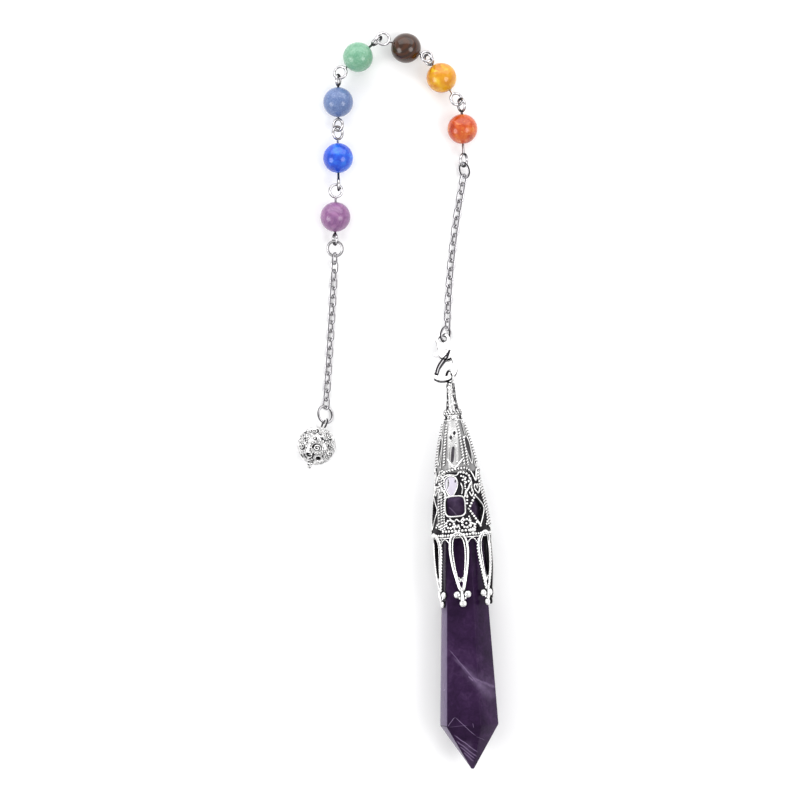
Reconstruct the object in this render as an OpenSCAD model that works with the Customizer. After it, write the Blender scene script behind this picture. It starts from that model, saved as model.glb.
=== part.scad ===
// A pendulum pendant laid out flat: a six-sided stone point in a pierced bell cap, a
// lobster clasp, two lengths of cable chain with seven round stone beads on wire pins
// between them, and a pierced ball at the free end. Lengths are in millimetres, +Z is up.

/* [Stone] */
// Length of the stone from its seated end to its point
stone_l = 54.4; // [46:0.2:60]
// Corner radius of the stone at its seated end
stone_seat_r = 3.8; // [3.4:0.05:3.8]
// Corner radius of the stone at its shoulder, where the point begins
stone_shoulder_r = 5.9; // [5:0.05:6.4]
// Length of the point beyond the shoulder
stone_point_l = 8.8; // [6:0.1:12]
// Length of the small facets round the seated end
stone_bevel_l = 0.8; // [0.4:0.05:1.4]
// Lean of the stone in its cap, in degrees
stone_lean = 2.2; // [0:0.1:2.6]
// Depth of the stone's seated end below the top of the cap
stone_depth = 22.6; // [22:0.1:24]

/* [Cap] */
// Length of the bell, without its prongs
bell_l = 30.6; // [28:0.2:32]
// Outer radius of the bell at its rim
bell_r = 5.8; // [5.6:0.05:6.6]
// Wall of the bell
bell_wall = 0.5; // [0.4:0.05:0.5]
// Length of a prong beyond the rim, without its tip
prong_l = 11.6; // [9:0.1:13]
// Width of a prong across its loop
prong_w = 3.9; // [3.2:0.1:4.4]
// Wire of the prongs
prong_wire = 0.8; // [0.6:0.05:0.9]
// Diameter of each ball of a prong's three-ball tip
tip_ball_d = 1.5; // [1.1:0.05:1.7]
// Wire of the raised frames and ribs
relief_wire = 0.5; // [0.35:0.05:0.6]
// Diameter of the raised grains
grain_d = 0.7; // [0.5:0.05:0.9]
// Outer diameter of the loop on the top of the cap
cap_loop_d = 3.1; // [3:0.05:3.5]
// Wire of that loop
cap_loop_wire = 0.5; // [0.4:0.05:0.5]

/* [Clasp] */
// Distance from the clasp's eye to the place where the hook bears
clasp_l = 8.45; // [7.8:0.05:10]
// Thickness of the clasp
clasp_t = 1.5; // [1.4:0.05:1.7]
// Thickness of the hook's bar
hook_t = 1; // [0.9:0.05:1.05]
// Width of the hook's bar
hook_w = 0.9; // [0.8:0.05:0.9]
// Outer diameter of the clasp's eye
clasp_eye_d = 2.9; // [2.7:0.05:3.2]
// Hole of the clasp's eye
clasp_eye_hole = 1.7; // [1.6:0.05:1.9]
// Thickness of the clasp's eye
clasp_eye_t = 0.7; // [0.5:0.05:0.8]
// Thickness of the lever
lever_t = 0.7; // [0.5:0.05:0.8]
// Width of the lever
lever_w = 0.9; // [0.7:0.05:1]
// Diameter of the lever's rivet
rivet_d = 0.8; // [0.6:0.05:0.9]

/* [Rings] */
// Outer diameter of the jump rings
ring_d = 3.5; // [3.3:0.05:4]
// Outer diameter of the jump ring at the ball
ball_ring_d = 3.9; // [3.5:0.05:4.4]
// Wire of the jump rings
ring_wire = 0.5; // [0.4:0.05:0.55]

/* [Chain] */
// Outer length of a link
link_l = 2.68; // [2.4:0.02:3]
// Outer width of a link
link_w = 1.8; // [1.6:0.05:2]
// Wire of a link
link_wire = 0.4; // [0.3:0.02:0.44]
// Links between the clasp and the first bead
lower_links = 18; // [6:1:24]
// Links between the last bead and the ball
upper_links = 18; // [6:1:24]

/* [Beads] */
// Diameter of the beads
bead_d = 6; // [5:0.1:8]
// Hole through the beads
bead_bore = 0.8; // [0.6:0.05:1]
// Wire of the pins through the beads
pin_wire = 0.44; // [0.3:0.02:0.5]
// Wire of the eyes bent at both ends of a pin
eye_wire = 0.5; // [0.4:0.02:0.54]

/* [Ball] */
// Diameter of the ball's pierced shell
ball_d = 7.6; // [6:0.1:10]
// Wall of the ball's shell
ball_wall = 0.6; // [0.4:0.05:0.9]
// Outer diameter of the ball's loop
ball_loop_d = 2.8; // [2.6:0.05:3.4]
// Length of the ball's tail beyond the shell
ball_tail_l = 1.5; // [0.8:0.1:3]

/* [Fit] */
// Play between parts that hang in one another
play = 0.16; // [0.15:0.01:0.18]
// Running gap of the rivet and of the lever in its slot
run_gap = 0.06; // [0.04:0.01:0.08]

/* [Hidden] */

// The route of the string, chosen by hand: directions in degrees, from above and
// anticlockwise from +X, with climbs above the level and rolls about the direction.
cap_heading = -85.7;
clasp_pose = [0, -30, 92];
clasp_ring_pose = [52, -9, 73];
clasp_ring_slip = [0.27, -0.28, 0.05];
lower_headings = [88.5, 79];
lower_ring_pose = [-50, 20, 91];
upper_headings = [267, 266];
upper_ring_pose = [10, -10, 270];
ball_ring_pose = [-35, 15, 268];
ball_roll = 70;
ball_heading = 251;
link_rolls = [-55, 35];
// Links over which a chain slopes down from a ring to the ground
slope_links = 3;
// How far a chain rises again to the ring at its end
lower_ring_rise = 0.6;
ball_ring_rise = 0.3;

// One row a bead: direction, climb, the roll and outer diameter of its eye towards the
// clasp and its neck, then those of its other eye, and the slip before the next bead.
HEADING = 0;
CLIMB = 1;
ROLL_IN = 2;
EYE_IN = 3;
NECK_IN = 4;
ROLL_OUT = 5;
EYE_OUT = 6;
NECK_OUT = 7;
SLIP = 8;
beads = [
    [92.5, 6, 58, 3.0, 1.75, -58, 3.0, 0.3, [-0.41, -0.49]],
    [125, -3, 31, 3.0, 0.75, -46, 2.6, 0.14, [0.66, -0.21]],
    [158, 1.5, 19, 2.6, 0.16, 19, 3.0, 0.45, [0.19, -0.22]],
    [221, 0, -72, 2.8, 0.55, 23, 3.0, 0.22, [0.29, -0.18]],
    [270, -1.5, -69, 2.6, 0.12, 41, 2.8, 0.16, [-0.12, 0.15]],
    [271, 3, -43, 3.0, 0.55, 87, 2.8, 0.86, [-0.54, 0.37]],
    [269, -6, -11, 3.0, 0.7, 70, 2.6, 0.2, [0, 0]]
];

// Corners of the stone's section: direction from the right and share of the corner radius
stone_corners = [[8, 1], [67, 0.97], [141, 1], [188, 1], [242, 1], [298, 1]];
// The stone's small flat at its point: share of the shoulder radius, and its shift in mm
stone_table = 0.05;
stone_table_shift = [0.35, 0];
// How far the stone's axis crosses the cap's, as a share of the way down the bell
stone_pivot = 1.1;

// Outline of the bell: shares of its length from the top and of its rim's radius
bell_outline = [
    [0, 0.15], [0.1, 0.17], [0.17, 0.23], [0.22, 0.3], [0.28, 0.37], [0.37, 0.5],
    [0.47, 0.61], [0.58, 0.71], [0.69, 0.8], [0.8, 0.9], [0.9, 0.96], [1, 1]
];
// Direction of the first of the cap's three wide panels and of its first prong, and of its loop
panel_turn = 98.8;
cap_loop_turn = 60;
sectors = 6;

wall_facets = 32;
tip_ball_flat = 0.5;
relief_lift = 0.03;
frame_lap = 0.85;
loop_facets = 12;
ball_facets = 32;

function aim(pose) = [cos(pose[2]) * cos(pose[1]), sin(pose[2]) * cos(pose[1]), sin(pose[1])];
function flat_aim(angle) = [cos(angle), sin(angle), 0];
// A point given in a piece's own frame, turned as the piece is by roll, climb and direction
function rolled(v, a) = [v[0], v[1] * cos(a) - v[2] * sin(a), v[1] * sin(a) + v[2] * cos(a)];
function climbed(v, a) = [v[0] * cos(a) - v[2] * sin(a), v[1], v[0] * sin(a) + v[2] * cos(a)];
function headed(v, a) = [v[0] * cos(a) - v[1] * sin(a), v[0] * sin(a) + v[1] * cos(a), v[2]];
function turned(v, pose) = headed(climbed(rolled(v, pose[0]), pose[1]), pose[2]);
// Distance from a round wire loop's centre to where another wire bears inside it
function reach(outer_d, wire) = outer_d / 2 - wire - play / 2;

// The cap lies along the ground on its prongs
prong_mid_r = bell_r - prong_wire / 2;
prong_bulge = 0.12;
prong_lean = 0.18;
cap_lift = 0.12;
axis_z = bell_r + relief_wire / 2 + cap_lift;
cap_top = [0, 0, axis_z];
cap_loop_at = cap_top - flat_aim(cap_heading) * (cap_loop_d / 2 - cap_loop_wire / 2);

// The clasp: its eye is the origin of its frame, +X from its nose to its eye
hook_at = clasp_l * [-1.018, -0.136, 0];
hook_depth = 0.12;
hook_bears = cap_loop_at - flat_aim(cap_heading) * hook_depth;
clasp_at = hook_bears - turned(hook_at, clasp_pose);

eye_play = 0.3;
clasp_ring_at = clasp_at + aim([0, clasp_pose[1], clasp_pose[2]]) * eye_play
    + aim(clasp_ring_pose) * reach(ring_d, ring_wire) + clasp_ring_slip;
lower_start = clasp_ring_at + aim(clasp_ring_pose) * reach(ring_d, ring_wire);

// The chains: every link bears in the next
link_reach = link_l / 2 - link_wire - play / 2;
link_z = sin(max([for (roll = link_rolls) abs(roll)])) * (link_w - link_wire) / 2 + link_wire / 2;
function link_heading(i, n, headings) = headings[0] + (headings[1] - headings[0]) * i / (n - 1);
function link_climb(i, n, rise) =
    i < slope_links ? -asin(rise[0] / (slope_links * 2 * link_reach))
    : i >= n - slope_links ? asin(rise[1] / (slope_links * 2 * link_reach))
    : 0;
function link_pose(i, n, headings, rise) =
    [link_rolls[i % len(link_rolls)], link_climb(i, n, rise), link_heading(i, n, headings)];
function link_step(i, n, headings, rise) = aim(link_pose(i, n, headings, rise)) * 2 * link_reach;
function chain_joints(start, n, headings, rise) =
    [for (i = 0, at = start; i <= n; at = at + link_step(i, n, headings, rise), i = i + 1) at];

lower_rise = [lower_start[2] - link_z, lower_ring_rise];
lower_joints = chain_joints(lower_start, lower_links, lower_headings, lower_rise);
lower_end = lower_joints[lower_links];
lower_ring_at = lower_end + aim(lower_ring_pose) * reach(ring_d, ring_wire);
beads_start = lower_ring_at + aim(lower_ring_pose) * reach(ring_d, ring_wire);

// The beads: each one's centre follows from the eye before it
function bead_aim(b) = aim([0, beads[b][CLIMB], beads[b][HEADING]]);
function eye_offset(b, eye, neck) = bead_d / 2 + beads[b][neck] + beads[b][eye] / 2;
function half_in(b) = eye_offset(b, EYE_IN, NECK_IN) + reach(beads[b][EYE_IN], eye_wire);
function half_out(b) = eye_offset(b, EYE_OUT, NECK_OUT) + reach(beads[b][EYE_OUT], eye_wire);
function on_ground(v, z) = [v[0], v[1], z];
function bead_at(b) =
    b == 0 ? on_ground(beads_start + bead_aim(0) * half_in(0), bead_d / 2)
    : on_ground(bead_end(b - 1) + bead_aim(b) * half_in(b), bead_d / 2);
function bead_end(b) =
    bead_at(b) + bead_aim(b) * half_out(b) + [beads[b][SLIP][0], beads[b][SLIP][1], 0];

last_bead = len(beads) - 1;
upper_ring_at = bead_end(last_bead) + aim(upper_ring_pose) * reach(ring_d, ring_wire);
upper_start = upper_ring_at + aim(upper_ring_pose) * reach(ring_d, ring_wire);
upper_rise = [upper_start[2] - link_z, ball_ring_rise];
upper_joints = chain_joints(upper_start, upper_links, upper_headings, upper_rise);
upper_end = upper_joints[upper_links];
ball_ring_at = upper_end + aim(ball_ring_pose) * reach(ball_ring_d, ring_wire);
ball_joint = ball_ring_at + aim(ball_ring_pose) * reach(ball_ring_d, ring_wire);
ball_loop_sink = 0.45;
ball_offset = ball_loop_d / 2 + ball_d / 2 - ball_loop_sink;
ball_reach = reach(ball_loop_d, eye_wire) + ball_offset;
// The ball lies on the ground
ball_climb = asin((ball_d / 2 - ball_joint[2]) / ball_reach);
ball_pose = [ball_roll, ball_climb, ball_heading];
ball_at = ball_joint + aim(ball_pose) * ball_reach;

// The stone's own axis, and the middle of everything
stone_heading = cap_heading - stone_lean;
stone_cross = cap_top + flat_aim(cap_heading) * bell_l * stone_pivot;
stone_top = stone_cross - flat_aim(stone_heading) * (bell_l * stone_pivot - stone_depth);
stone_shoulder = stone_top + flat_aim(stone_heading) * (stone_l - stone_point_l);
stone_end = stone_top + flat_aim(stone_heading) * stone_l;
far_right = stone_shoulder[0] + stone_shoulder_r * cos(stone_corners[0][0]);
far_left = ball_at[0] - ball_d / 2;
function eye_top(b, at, outer_d, roll) =
    let (across = turned([0, 0, 1], [roll, beads[b][CLIMB], beads[b][HEADING]]))
    bead_at(b)[1] + bead_aim(b)[1] * at + (outer_d - eye_wire) / 2 * sqrt(1 - pow(across[1], 2))
    + eye_wire / 2;
far_up = max([for (b = [0 : last_bead]) max(
    bead_at(b)[1] + bead_d / 2,
    eye_top(b, -eye_offset(b, EYE_IN, NECK_IN), beads[b][EYE_IN], beads[b][ROLL_IN]),
    eye_top(b, eye_offset(b, EYE_OUT, NECK_OUT), beads[b][EYE_OUT], beads[b][ROLL_OUT])
)]);
middle = [(far_left + far_right) / 2, (far_up + stone_end[1]) / 2, 0];

module put(at, pose) {
    translate(at - middle)
        rotate([pose[0], -pose[1], pose[2]])
            children();
}

// A round wire ring in the XY plane, its outer diameter given
module wire_ring(outer_d, wire, facets = 48) {
    rotate_extrude($fn = facets)
        translate([(outer_d - wire) / 2, 0])
            circle(d = wire, $fn = facets);
}

function unit(v) = v / norm(v);
function next_of(i, n, closed) = closed ? (i + 1) % n : min(i + 1, n - 1);
function last_of(i, n, closed) = closed ? (i + n - 1) % n : max(i - 1, 0);
// Rings of points round a wire that follows a path, each ring set by the path's outward side
function wire_rings(path, out, r, sides, closed) =
    let (n = len(path))
    [for (i = [0 : n - 1])
        let (
            along = unit(path[next_of(i, n, closed)] - path[last_of(i, n, closed)]),
            side = unit(cross(along, out[i])),
            up = cross(side, along)
        )
        for (k = [0 : sides - 1]) path[i] + r * (cos(360 * k / sides) * up + sin(360 * k / sides) * side)
    ];
function wall_faces(n, sides, closed) =
    [for (i = [0 : closed ? n - 1 : n - 2], k = [0 : sides - 1])
        let (j = (i + 1) % n, l = (k + 1) % sides)
        each [
            [i * sides + k, j * sides + k, j * sides + l],
            [i * sides + k, j * sides + l, i * sides + l]
        ]
    ];
// A bent wire of a given radius along a path
module bent_wire(path, out, r, sides = 6, closed = false) {
    n = len(path);
    ends = closed ? [] : [
        [for (k = [0 : sides - 1]) k],
        [for (k = [0 : sides - 1]) n * sides - 1 - k]
    ];
    polyhedron(wire_rings(path, out, r, sides, closed), concat(wall_faces(n, sides, closed), ends));
}

module crystal() {
    n = len(stone_corners);
    // One row a ring of corners: distance from the seated end, corner radius and shift
    rings = [
        [0, stone_seat_r - stone_bevel_l / 2, [0, 0]],
        [stone_bevel_l, stone_seat_r, [0, 0]],
        [stone_l - stone_point_l, stone_shoulder_r, [0, 0]],
        [stone_l, stone_shoulder_r * stone_table, stone_table_shift]
    ];
    points = [for (ring = rings, corner = stone_corners) [
        ring[1] * corner[1] * cos(corner[0]) + ring[2][0],
        ring[1] * corner[1] * sin(corner[0]) + ring[2][1],
        ring[0]
    ]];
    walls = [for (i = [0 : len(rings) - 2], k = [0 : n - 1])
        let (l = (k + 1) % n)
        [i * n + k, (i + 1) * n + k, (i + 1) * n + l, i * n + l]
    ];
    ends = [[for (k = [0 : n - 1]) k], [for (k = [0 : n - 1]) len(rings) * n - 1 - k]];
    color("indigo")
        translate(stone_top - middle)
            rotate([90, 0, stone_heading + 90])
                polyhedron(points, concat(walls, ends));
}

function bell_radius(s) = lookup(s / bell_l, bell_outline) * bell_r;
function on_bell(a, s, lift) =
    [(bell_radius(min(s, bell_l)) + lift) * cos(a), (bell_radius(min(s, bell_l)) + lift) * sin(a), s];
// A path drawn on the bell round a point: shares of a width across and a length along
function drawn(shape, a, s, w, l, lift) = [for (p = shape)
    on_bell(a + p[0] * w / 2 / bell_radius(s) * 180 / PI, s + p[1] * l / 2, lift)
];
function outward(shape, a, s, w) = [for (p = shape) flat_aim(a + p[0] * w / 2 / bell_radius(s) * 180 / PI)];
drop_shape = [
    [0, -1], [0.6, -0.85], [0.97, -0.4], [0.95, 0], [0.62, 0.5], [0, 1],
    [-0.62, 0.5], [-0.95, 0], [-0.97, -0.4], [-0.6, -0.85]
];
square_shape = [
    [0, -1], [0.8, -0.95], [1, -0.6], [1, 0.6], [0.8, 0.95], [0, 1],
    [-0.8, 0.95], [-1, 0.6], [-1, -0.6], [-0.8, -0.95]
];
diamond_shape = [
    [0, -1], [0.5, -0.5], [1, 0], [0.5, 0.5], [0, 1], [-0.5, 0.5], [-1, 0], [-0.5, -0.5]
];
// Openings of the panels, by name of their columns below: shape, direction from the
// panel's middle, and shares of the bell's length and rim radius for place, width and length
SHAPE = 0;
TURN = 1;
PLACE = 2;
WIDTH = 3;
LENGTH = 4;
wide_openings = [
    [square_shape, -4, 0.3, 0.12, 0.028],
    [square_shape, 4, 0.355, 0.12, 0.028],
    [drop_shape, -4, 0.465, 0.17, 0.12],
    [drop_shape, 6, 0.675, 0.5, 0.12],
    [square_shape, 0, 0.8, 0.56, 0.115],
    [square_shape, -15, 0.92, 0.14, 0.03],
    [square_shape, 15, 0.92, 0.14, 0.03]
];
narrow_openings = [
    [drop_shape, 0, 0.45, 0.2, 0.17],
    [square_shape, -13, 0.66, 0.16, 0.05],
    [square_shape, 13, 0.66, 0.16, 0.05],
    [diamond_shape, 0, 0.81, 0.4, 0.19],
    [square_shape, -14, 0.93, 0.14, 0.03],
    [square_shape, 14, 0.93, 0.14, 0.03]
];
function opening_w(row) = row[WIDTH] * bell_r;
function opening_l(row) = row[LENGTH] * bell_l;

module opening_cut(row, a) {
    rotate([0, 0, a + row[TURN]])
        translate([0, 0, row[PLACE] * bell_l])
            rotate([0, 90, 0])
                linear_extrude(bell_r * 1.5)
                    polygon([for (p = row[SHAPE]) [-p[1] * opening_l(row) / 2, p[0] * opening_w(row) / 2]]);
}

// Frames and scallops are turned a hair, so that their edges don't meet the openings' edges exactly
frame_turn = 0.46;
module opening_frame(row, a) {
    turn = a + row[TURN] + frame_turn;
    s = row[PLACE] * bell_l;
    w = opening_w(row) + relief_wire * frame_lap;
    l = opening_l(row) + relief_wire * frame_lap;
    bent_wire(drawn(row[SHAPE], turn, s, w, l, relief_lift), outward(row[SHAPE], turn, s, w), relief_wire / 2, 4, true);
}

module grain(a, s, d, lift = 0) {
    rotate([0, 0, a])
        translate([bell_radius(s) + lift, 0, s])
            hull()
                sphere(d = d, $fn = 6);
}

module bell_shell() {
    outer = [for (p = bell_outline) [p[1] * bell_r, p[0] * bell_l]];
    inner = [for (i = [len(outer) - 1 : -1 : 0]) [max(outer[i][0] - bell_wall, 0), outer[i][1]]];
    rotate_extrude($fn = wall_facets)
        polygon(concat(outer, inner));
}

collar_share = 0.205;
module collar() {
    s = bell_l * collar_share;
    knobs = 8;
    translate([0, 0, s])
        rotate_extrude($fn = wall_facets / 2)
            translate([bell_radius(s), 0])
                circle(d = relief_wire * 1.4, $fn = 8);
    for (k = [0 : knobs - 1])
        grain(360 * k / knobs, s, grain_d, relief_wire / 2);
}

// A long wire loop that runs down over the stone and ends in three balls
module prong(a) {
    root = bell_l - prong_wire;
    path = [
        [0, 0], [0.55, 0.03], [0.9, 0.12], [1, 0.3], [0.86, 0.52], [0.55, 0.78], [0.24, 0.96],
        [-0.24, 0.96], [-0.55, 0.78], [-0.86, 0.52], [-1, 0.3], [-0.9, 0.12], [-0.55, 0.03]
    ];
    half = (prong_w - prong_wire) / 2;
    turns = [for (p = path) a + p[0] * half / prong_mid_r * 180 / PI];
    // The prong bulges a little and leans in over its last third
    function prong_r(share) =
        prong_mid_r + prong_bulge * sin(180 * share) - prong_lean * max(0, share - 0.6) / 0.4;
    points = [for (i = [0 : len(path) - 1])
        prong_r(path[i][1]) * flat_aim(turns[i]) + [0, 0, root + path[i][1] * prong_l]
    ];
    bent_wire(points, [for (t = turns) flat_aim(t)], prong_wire / 2, 5, true);
    spread = tip_ball_d * 0.42 / prong_mid_r * 180 / PI;
    for (ball = [[-spread, 0.1], [spread * 1.04, 0.14], [spread * 0.07, 0.75]])
        rotate([0, 0, a + ball[0]])
            translate([prong_r(1), 0, root + prong_l + tip_ball_d * ball[1]])
                hull()
                    scale([tip_ball_flat, 1, 1])
                        sphere(d = tip_ball_d, $fn = 6);
}

// A scalloped wire below the rim, one arch between each two prongs
scallop_rise = 0.8;
scallop_drop = 0.13;
arch_points = 5;
module scallops(a) {
    turns = [for (i = [0 : sectors * arch_points - 1]) a + i * 360 / sectors / arch_points];
    path = [for (i = [0 : len(turns) - 1])
        prong_mid_r * flat_aim(turns[i])
            + [0, 0, bell_l + scallop_drop + scallop_rise * sin(180 * (i % arch_points) / arch_points)]
    ];
    bent_wire(path, [for (t = turns) flat_aim(t)], relief_wire / 2, 4, true);
}

module rib(a) {
    shares = [0.22, 0.34, 0.46, 0.54];
    bent_wire([for (t = shares) on_bell(a, t * bell_l, relief_lift)], [for (t = shares) flat_aim(a)], relief_wire / 2, 4);
}

band_share = 0.6;
band_rise = 0.045;
module bands(a) {
    turns = [for (i = [0 : sectors * arch_points - 1]) a + i * 360 / sectors / arch_points];
    path = [for (i = [0 : len(turns) - 1]) on_bell(
        turns[i],
        bell_l * (band_share - band_rise * sin(180 * (i % arch_points) / arch_points)),
        relief_lift
    )];
    bent_wire(path, [for (t = turns) flat_aim(t)], relief_wire / 2, 4, true);
}

module cap() {
    step = 360 / sectors;
    rim_grains = 24;
    rim_grain_share = 0.975;
    color("silver")
        translate(cap_top - middle)
            rotate([90, 0, cap_heading + 90]) {
                difference() {
                    bell_shell();
                    for (k = [0 : sectors / 2 - 1]) {
                        for (row = wide_openings)
                            opening_cut(row, panel_turn + 2 * k * step);
                        for (row = narrow_openings)
                            opening_cut(row, panel_turn + (2 * k + 1) * step);
                    }
                }
                for (k = [0 : sectors / 2 - 1]) {
                    for (row = [wide_openings[3], wide_openings[4]])
                        opening_frame(row, panel_turn + 2 * k * step);
                    opening_frame(narrow_openings[3], panel_turn + (2 * k + 1) * step);
                }
                collar();
                for (k = [0 : sectors - 1]) {
                    prong(panel_turn + k * step);
                    rib(panel_turn + (k + 0.5) * step);
                }
                scallops(panel_turn + frame_turn);
                bands(panel_turn + step / 2);
                for (k = [0 : rim_grains - 1])
                    grain(360 * k / rim_grains, bell_l * rim_grain_share, grain_d);
                translate([0, 0, -(cap_loop_d - cap_loop_wire) / 2])
                    rotate([90, 0, cap_loop_turn])
                        wire_ring(cap_loop_d, cap_loop_wire, loop_facets);
            }
}

module clasp_frame() {
    put(clasp_at, clasp_pose)
        children();
}

// A smooth line through a few points, with a few steps from each to the next
function bend(a, b, c, d, t) =
    0.5 * (2 * b + (c - a) * t + (2 * a - 5 * b + 4 * c - d) * t * t + (3 * b - a - 3 * c + d) * t * t * t);
function smooth(p, steps = 4) =
    let (n = len(p))
    [for (i = [0 : n - 2], k = [0 : i == n - 2 ? steps : steps - 1])
        bend(p[max(i - 1, 0)], p[i], p[i + 1], p[min(i + 2, n - 1)], k / steps)
    ];
function square_to(v) = [-v[1], v[0]] / norm(v);
// Half a circle of points round one end of a bar
function round_end(at, start, w) = [for (k = [1 : 7]) at + w / 2 * [cos(start - 22.5 * k), sin(start - 22.5 * k)]];
// A flat bar of even width along a line, with its far end round and, if asked, its near end too
module bar(line, w, both = false) {
    n = len(line);
    sides = [for (i = [0 : n - 1]) square_to(line[min(i + 1, n - 1)] - line[max(i - 1, 0)]) * w / 2];
    function turn(v) = atan2(v[1], v[0]);
    polygon(concat(
        [for (i = [0 : n - 1]) line[i] + sides[i]],
        round_end(line[n - 1], turn(sides[n - 1]), w),
        [for (i = [n - 1 : -1 : 0]) line[i] - sides[i]],
        both ? round_end(line[0], turn(-sides[0]), w) : []
    ));
}
module slab(t) {
    translate([0, 0, -t / 2])
        linear_extrude(t)
            children();
}

// The clasp's lines, as shares of its length from the eye: the hook's bar and the lever
hook_line = smooth(clasp_l * [
    [-0.3, -0.13], [-0.54, -0.245], [-0.77, -0.28], [-0.96, -0.225], [-1.08, -0.08], [-1.1, 0.08],
    [-1.05, 0.19]
]);
lever_pivot = clasp_l * [-0.37, -0.07];
lever_line = smooth(clasp_l * [[-0.345, -0.08], [-0.52, -0.035], [-0.66, 0.06], [-0.79, 0.14], [-0.91, 0.175]]);
tab_line = clasp_l * [[-0.365, -0.1], [-0.42, 0.18]];
head_r = clasp_l * 0.2;
lever_disc_r = rivet_d / 2 + 0.35;
slot_gap = 0.12;
// Corners of the slot that the lever turns in, as shares of the head's radius from its pivot
slot_corners = [[0.515, 0], [0.515, 1.8], [-1.8, 1.8], [-1.8, -0.7], [-0.3, -0.5], [0.3, -0.2]];

module clasp_body() {
    color("gainsboro")
        clasp_frame()
            difference() {
                union() {
                    slab(hook_t)
                        bar(hook_line, hook_w, true);
                    slab(clasp_t)
                        translate(lever_pivot)
                            circle(head_r, $fn = 48);
                    slab(clasp_eye_t) {
                        circle(d = clasp_eye_d, $fn = 48);
                        polygon([
                            [-clasp_eye_d * 0.1, clasp_eye_d * 0.46], [lever_pivot[0], lever_pivot[1] + head_r * 0.9],
                            [lever_pivot[0], lever_pivot[1] - head_r * 0.9], [-clasp_eye_d * 0.1, -clasp_eye_d * 0.46]
                        ]);
                    }
                }
                slab(clasp_t + 2)
                    circle(d = clasp_eye_hole, $fn = 48);
                slab(lever_t + 2 * run_gap) {
                    translate(lever_pivot)
                        circle(lever_disc_r + slot_gap, $fn = 48);
                    polygon([for (p = slot_corners) lever_pivot + p * head_r]);
                }
                translate([lever_pivot[0], lever_pivot[1], -clasp_t])
                    cylinder(d = rivet_d + 2 * run_gap, h = 2 * clasp_t, $fn = 48);
            }
}

module clasp_lever() {
    color("lightgray")
        clasp_frame()
            difference() {
                union() {
                    slab(lever_t)
                        translate(lever_pivot)
                            circle(lever_disc_r, $fn = 48);
                    slab(lever_t)
                        bar(lever_line, lever_w);
                    slab(lever_t)
                        bar(tab_line, lever_w);
                }
                translate([lever_pivot[0], lever_pivot[1], -clasp_t])
                    cylinder(d = rivet_d + 2 * run_gap, h = 2 * clasp_t, $fn = 48);
            }
}

module clasp_rivet() {
    color("gray")
        clasp_frame()
            translate([lever_pivot[0], lever_pivot[1], -clasp_t / 2])
                cylinder(d = rivet_d, h = clasp_t, $fn = 48);
}

module jump_ring(at, pose, outer_d) {
    color("silver")
        put(at, pose)
            wire_ring(outer_d, ring_wire);
}

// One oval link in the XY plane, its length along X
module link() {
    straight = link_l - link_w;
    mid_r = (link_w - link_wire) / 2;
    for (side = [-1, 1]) {
        translate([side * straight / 2, 0, 0])
            rotate([0, 0, -90 * side])
                rotate_extrude(angle = 180, $fn = 48)
                    translate([mid_r, 0])
                        circle(d = link_wire, $fn = 40);
        translate([-straight / 2, side * mid_r, 0])
            rotate([0, 90, 0])
                cylinder(d = link_wire, h = straight, $fn = 40);
    }
}

module chain(joints, headings, rise) {
    n = len(joints) - 1;
    color("silver")
        for (i = [0 : n - 1])
            put((joints[i] + joints[i + 1]) / 2, link_pose(i, n, headings, rise))
                link();
}

module bead(b, tint) {
    color(tint)
        put(bead_at(b), [0, beads[b][CLIMB], beads[b][HEADING]])
            rotate([0, 90, 0])
                rotate_extrude($fn = 72)
                    intersection() {
                        circle(d = bead_d, $fn = 72);
                        translate([bead_bore / 2, -bead_d / 2])
                            square([bead_d / 2, bead_d]);
                    }
}

module pin(b) {
    row = beads[b];
    at_in = -eye_offset(b, EYE_IN, NECK_IN);
    at_out = eye_offset(b, EYE_OUT, NECK_OUT);
    start = at_in + (row[EYE_IN] - eye_wire) / 2;
    stop = at_out - (row[EYE_OUT] - eye_wire) / 2;
    color("silver")
        put(bead_at(b), [0, row[CLIMB], row[HEADING]]) {
            translate([start, 0, 0])
                rotate([0, 90, 0])
                    cylinder(d = pin_wire, h = stop - start, $fn = 40);
            translate([at_in, 0, 0])
                rotate([row[ROLL_IN], 0, 0])
                    wire_ring(row[EYE_IN], eye_wire);
            translate([at_out, 0, 0])
                rotate([row[ROLL_OUT], 0, 0])
                    wire_ring(row[EYE_OUT], eye_wire);
        }
}

module ball_charm() {
    holes = 6;
    hole_d = ball_d * 0.26;
    hole_tilt = 27;
    color("silver")
        put(ball_at, ball_pose) {
            difference() {
                rotate([0, 90, 0])
                    sphere(d = ball_d, $fn = ball_facets);
                rotate([0, 90, 0])
                    sphere(d = ball_d - 2 * ball_wall, $fn = ball_facets);
                for (k = [0 : holes - 1], row = [-1, 1])
                    rotate([360 * (k + row / 4) / holes, 0, 0])
                        rotate([0, row * hole_tilt, 0])
                            hull()
                                cylinder(d = hole_d, h = ball_d, $fn = 12);
            }
            translate([-ball_offset, 0, 0])
                wire_ring(ball_loop_d, eye_wire, loop_facets);
            translate([ball_d / 2 - ball_wall / 2, 0, 0])
                rotate([0, 90, 0])
                    cylinder(d1 = 1.6, d2 = 0.7, h = ball_tail_l + ball_wall / 2, $fn = loop_facets);
        }
}

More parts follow.
